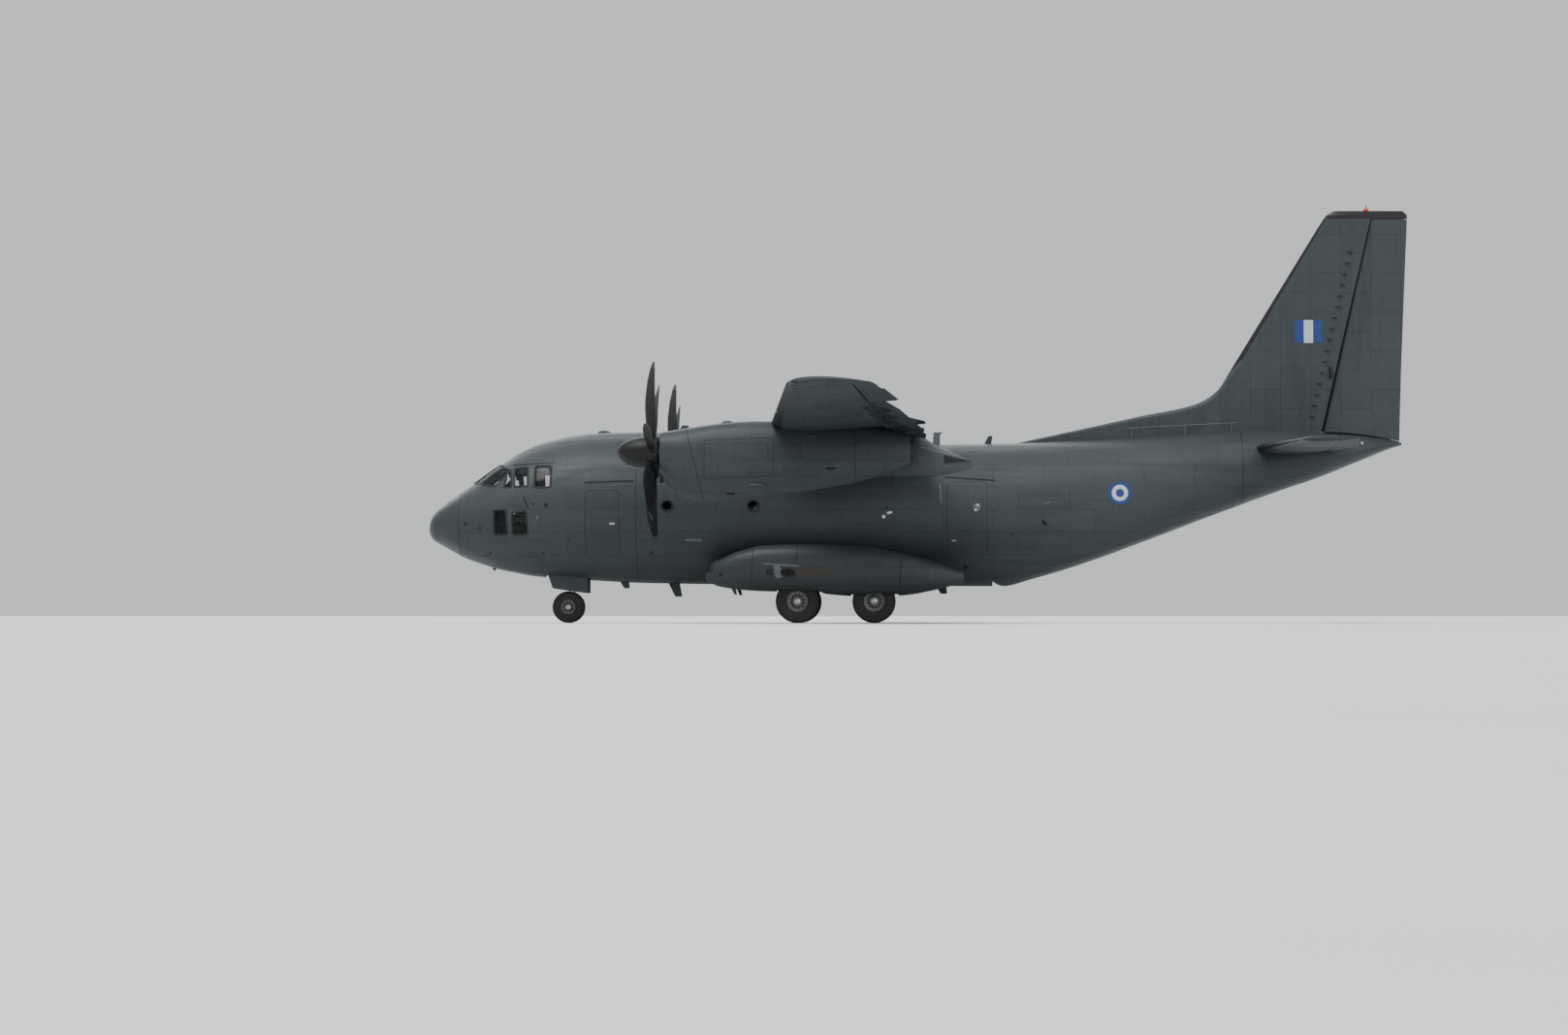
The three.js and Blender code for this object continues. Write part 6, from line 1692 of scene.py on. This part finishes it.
        # Vortex generators ahead of the rudder hinge, in the darker seam grey instead of the fin's paint: painted shade
        for z in 2.52 + 0.254 * np.arange(16):
            x = rudder_hinge(z) - 0.33
            y = fin_surface(x, z)
            vane = [(x, z), (x + 0.1, z + 0.022), (x + 0.1, z + 0.036), (x, z + 0.034)]
            kit.add(darker, plate([(u, s * (y - 0.006), v) for u, v in vane], (0, s * 0.036, 0), 0.001))
    beacon = (21.75, 0, 7.31)
    kit.add(red, turned([(0, 0.06), (0.02, 0.065), (0.05, 0.06), (0.07, 0.03), (0.072, 0)], beacon, UP, 20))
    kit.add(darker, turned([(0.06, 0.014), (0.15, 0.005), (0.155, 0)], beacon, UP, 12))
    kit.add(lamp, turned([(-0.02, 0.03), (0.02, 0.033), (0.045, 0.02), (0.05, 0)], (22.55, 0, 1.915), AFT, 16))
    y = -0.33
    kit.add(pale, tube(np.linspace((16.19, y, 2.27), (18.73, y, 2.4), 24), 0.009, 8))
    for x in (16.3, 17.53, 18.6):
        top, mid, _, half, _ = hull_section(x)
        foot = mid + (top - mid) * math.sqrt(1 - (y / half) ** 2)
        kit.add(pale, rod((x, y, foot - 0.01), (x, y, 2.27 + 0.051 * (x - 16.19)), 0.008, 8),
                turned([(0, 0.035), (0.008, 0.035), (0.014, 0.014), (0.014, 0)], (x, y, foot - 0.002), UP, 14))
    make_piece("fittings", kit, "fuselage_paint seal_black vent_dark red_lens lamp_glass green_lens seam_grey "
               "marking_white stencil_grey")


def fin_surface(x, z):
    """Distance of the fin's skin from the centre plane at a station and a height."""
    le, te, _, _ = row_at(FIN, z)
    return surface(FIN, z, (x - le) / (te - le), 0)[1]


def build_markings():
    """The roundel on each side of the hold and the striped flash on each side of the fin, as thin layers."""
    marks = Parts()
    at = np.arange(30).reshape(5, 6)
    quads = joined(at[:-1, :-1], at[1:, :-1], at[1:, 1:], at[:-1, 1:]).reshape(-1, 4)
    tris = np.r_[quads[:, [0, 1, 2]], quads[:, [0, 2, 3]]]
    for _, s in SIDES:
        for k, (r, finish) in enumerate(((0.262, 0), (0.185, 1), (0.095, 0))):
            layer = 0.0012 * k
            marks.add(finish, skin_patch(ring_outline(15.96, 0.74, r, s), 0.0035 + layer, -0.0015 - layer, 0.06))
        for k, finish in enumerate((0, 1, 0)):
            x0 = 20.08 + k * FLASH_STRIPE
            x, z = np.meshgrid(np.linspace(x0, x0 + FLASH_STRIPE, 5), np.linspace(4.25, 4.78, 6), indexing="ij")
            y = fin_surface(x, z)
            sheet, back = (joined(x, s * (y + out), z).reshape(-1, 3) for out in (0.004, 0.001))
            marks.add(finish, shell(sheet, back, tris))
    make_piece("markings", marks, "marking_blue marking_white")


def dress_frame_nodes():
    """The frame's own pieces that stay in view get a finish."""
    for name, finish in (("cargo_floor", "floor_metal"), ("engine_left", "engine_casting"),
                         ("engine_right", "engine_casting")):
        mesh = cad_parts[name].data
        mesh.materials.clear()
        mesh.materials.append(FINISH[finish])


# Stage


def build_stage(view):
    """A pale floor, soft light and the camera at floor level on the port side."""
    scene = bpy.context.scene

    def place(name, data):
        made = bpy.data.objects.new(name, data)
        scene.collection.objects.link(made)
        return made

    mesh = bpy.data.meshes.new("stage_floor")
    mesh.from_pydata([(x, y, 0) for x, y in rect(-400, -400, 400, 400)], [], [(0, 1, 2, 3)])
    mesh.materials.append(FINISH["stage_floor"])
    floor = place("stage_floor", mesh)
    for name, direction, strength, angle in (
        ("key_light", (0.3, 0.35, -0.9), 2.8, 30),
        ("fill_light", (-0.5, 0.9, -0.35), 0.9, 50),
        ("back_light", (0.2, -0.9, -0.5), 0.9, 40),
    ):
        lamp = bpy.data.lights.new(name, "SUN")
        lamp.energy = strength
        lamp.angle = math.radians(angle)
        place(name, lamp).rotation_euler = Vector(direction).to_track_quat("-Z", "Y").to_euler()
    scene.world = bpy.data.worlds.new("studio")
    scene.world.use_nodes = True
    background = scene.world.node_tree.nodes["Background"]
    background.inputs[0].default_value = (0.8, 0.82, 0.84, 1)
    background.inputs[1].default_value = 0.9
    camera = scene.camera = place("camera", bpy.data.cameras.new("camera"))
    camera.data.lens = view.lens
    camera.data.sensor_width = 36
    camera.data.clip_end = 1500
    camera.location = (view.along, -view.distance, view.height)
    target = Vector((view.aim_x, 0, view.aim_z))
    camera.rotation_euler = (target - camera.location).to_track_quat("-Z", "Y").to_euler()


# Settings, operators and panel

COLOUR = {"subtype": "COLOR", "size": 3, "min": 0, "max": 1}


class TransportColours(bpy.types.PropertyGroup):
    """Colours of the paint and the markings."""

    skin: bpy.props.FloatVectorProperty(
        name="Skin", description="Paint over most of the aircraft", default=(0.027, 0.036, 0.039), **COLOUR)
    dark: bpy.props.FloatVectorProperty(
        name="Pods", description="Paint of the undercarriage pods", default=(0.026, 0.033, 0.035), **COLOUR)
    boot: bpy.props.FloatVectorProperty(
        name="Boots", description="Rubber along the leading edges", default=(0.006, 0.007, 0.008), **COLOUR)
    propeller: bpy.props.FloatVectorProperty(
        name="Propeller", description="Blades and spinners", default=(0.004, 0.005, 0.006), **COLOUR)
    blue: bpy.props.FloatVectorProperty(
        name="Marking blue", description="Blue of the roundel and the flash", default=(0.011, 0.034, 0.15), **COLOUR)


class TransportView(bpy.types.PropertyGroup):
    """Where the camera stands and what it is aimed at."""

    lens: bpy.props.FloatProperty(
        name="Lens", description="Focal length for a 36 mm wide sensor, in millimetres", default=98.85, min=10, max=400)
    along: bpy.props.FloatProperty(
        name="Along", description="Camera's place along the fuselage", default=-0.58, unit="LENGTH")
    distance: bpy.props.FloatProperty(
        name="Distance", description="Camera's distance from the centre plane", default=100.0, unit="LENGTH")
    height: bpy.props.FloatProperty(
        name="Height", description="Camera's height over the floor", default=0.2, unit="LENGTH")
    aim_x: bpy.props.FloatProperty(
        name="Aim along", description="Point aimed at along the fuselage", default=-3.1, unit="LENGTH")
    aim_z: bpy.props.FloatProperty(
        name="Aim height", description="Height of the point aimed at", default=2.45, unit="LENGTH")


class TRANSPORT_OT_finishes(bpy.types.Operator):
    """Make every finish from the colour settings"""

    bl_idname = "transport.finishes"
    bl_label = "Finishes"

    def execute(self, context):
        make_finishes(context.scene.transport_colours)
        return {"FINISHED"}


class TRANSPORT_OT_fuselage(bpy.types.Operator):
    """Make the fuselage skins, their linings and the windows"""

    bl_idname = "transport.fuselage"
    bl_label = "Fuselage"

    def execute(self, context):
        build_fuselage()
        build_glass()
        return {"FINISHED"}


class TRANSPORT_OT_doors(bpy.types.Operator):
    """Make the crew door, the paratroop doors, the ramp and the door above it"""

    bl_idname = "transport.doors"
    bl_label = "Doors"

    def execute(self, context):
        build_doors()
        build_cargo_doors()
        return {"FINISHED"}


class TRANSPORT_OT_wing(bpy.types.Operator):
    """Make the wing, its fairing, flaps and ailerons"""

    bl_idname = "transport.wing"
    bl_label = "Wing"

    def execute(self, context):
        build_wing()
        return {"FINISHED"}


class TRANSPORT_OT_tail(bpy.types.Operator):
    """Make the fin, rudder, tailplane and elevators"""

    bl_idname = "transport.tail"
    bl_label = "Tail"

    def execute(self, context):
        build_tail()
        return {"FINISHED"}


class TRANSPORT_OT_engines(bpy.types.Operator):
    """Make the nacelles, blades, hubs and spinners"""

    bl_idname = "transport.engines"
    bl_label = "Engines"

    def execute(self, context):
        build_nacelles()
        build_propellers()
        return {"FINISHED"}


class TRANSPORT_OT_undercarriage(bpy.types.Operator):
    """Make the pods, the wheels and the legs"""

    bl_idname = "transport.undercarriage"
    bl_label = "Undercarriage"

    def execute(self, context):
        build_pods()
        build_wheels()
        build_main_legs()
        build_nose_leg()
        return {"FINISHED"}


class TRANSPORT_OT_inside(bpy.types.Operator):
    """Make the flight deck and the hold's fittings"""

    bl_idname = "transport.inside"
    bl_label = "Inside"

    def execute(self, context):
        build_flight_deck()
        build_hold()
        return {"FINISHED"}


class TRANSPORT_OT_details(bpy.types.Operator):
    """Make the fittings and markings, and give the frame's own visible pieces a finish"""

    bl_idname = "transport.details"
    bl_label = "Details"

    def execute(self, context):
        build_fittings()
        build_markings()
        dress_frame_nodes()
        return {"FINISHED"}


class TRANSPORT_OT_stage(bpy.types.Operator):
    """Make the floor, the lights and the camera"""

    bl_idname = "transport.stage"
    bl_label = "Stage"

    def execute(self, context):
        build_stage(context.scene.transport_view)
        return {"FINISHED"}


STEPS = (TRANSPORT_OT_finishes, TRANSPORT_OT_fuselage, TRANSPORT_OT_doors, TRANSPORT_OT_wing, TRANSPORT_OT_tail,
         TRANSPORT_OT_engines, TRANSPORT_OT_undercarriage, TRANSPORT_OT_inside, TRANSPORT_OT_details,
         TRANSPORT_OT_stage)


class TRANSPORT_PT_panel(bpy.types.Panel):
    """Sidebar panel that lists the settings and the steps."""

    bl_label = "Transport Plane"
    bl_idname = "TRANSPORT_PT_panel"
    bl_space_type = "VIEW_3D"
    bl_region_type = "UI"
    bl_category = "Transport"

    def draw(self, context):
        layout = self.layout
        for group in (context.scene.transport_colours, context.scene.transport_view):
            for name in group.__annotations__:
                layout.prop(group, name)
        for step in STEPS:
            layout.operator(step.bl_idname)


CLASSES = (TransportColours, TransportView, *STEPS, TRANSPORT_PT_panel)


def register():
    for cls in CLASSES:
        bpy.utils.register_class(cls)
    bpy.types.Scene.transport_colours = bpy.props.PointerProperty(type=TransportColours)
    bpy.types.Scene.transport_view = bpy.props.PointerProperty(type=TransportView)


def unregister():
    del bpy.types.Scene.transport_view
    del bpy.types.Scene.transport_colours
    for cls in reversed(CLASSES):
        bpy.utils.unregister_class(cls)


def main():
    register()
    for step in STEPS:
        getattr(bpy.ops.transport, step.bl_idname.split(".")[1])()


if __name__ == "__main__":
    main()
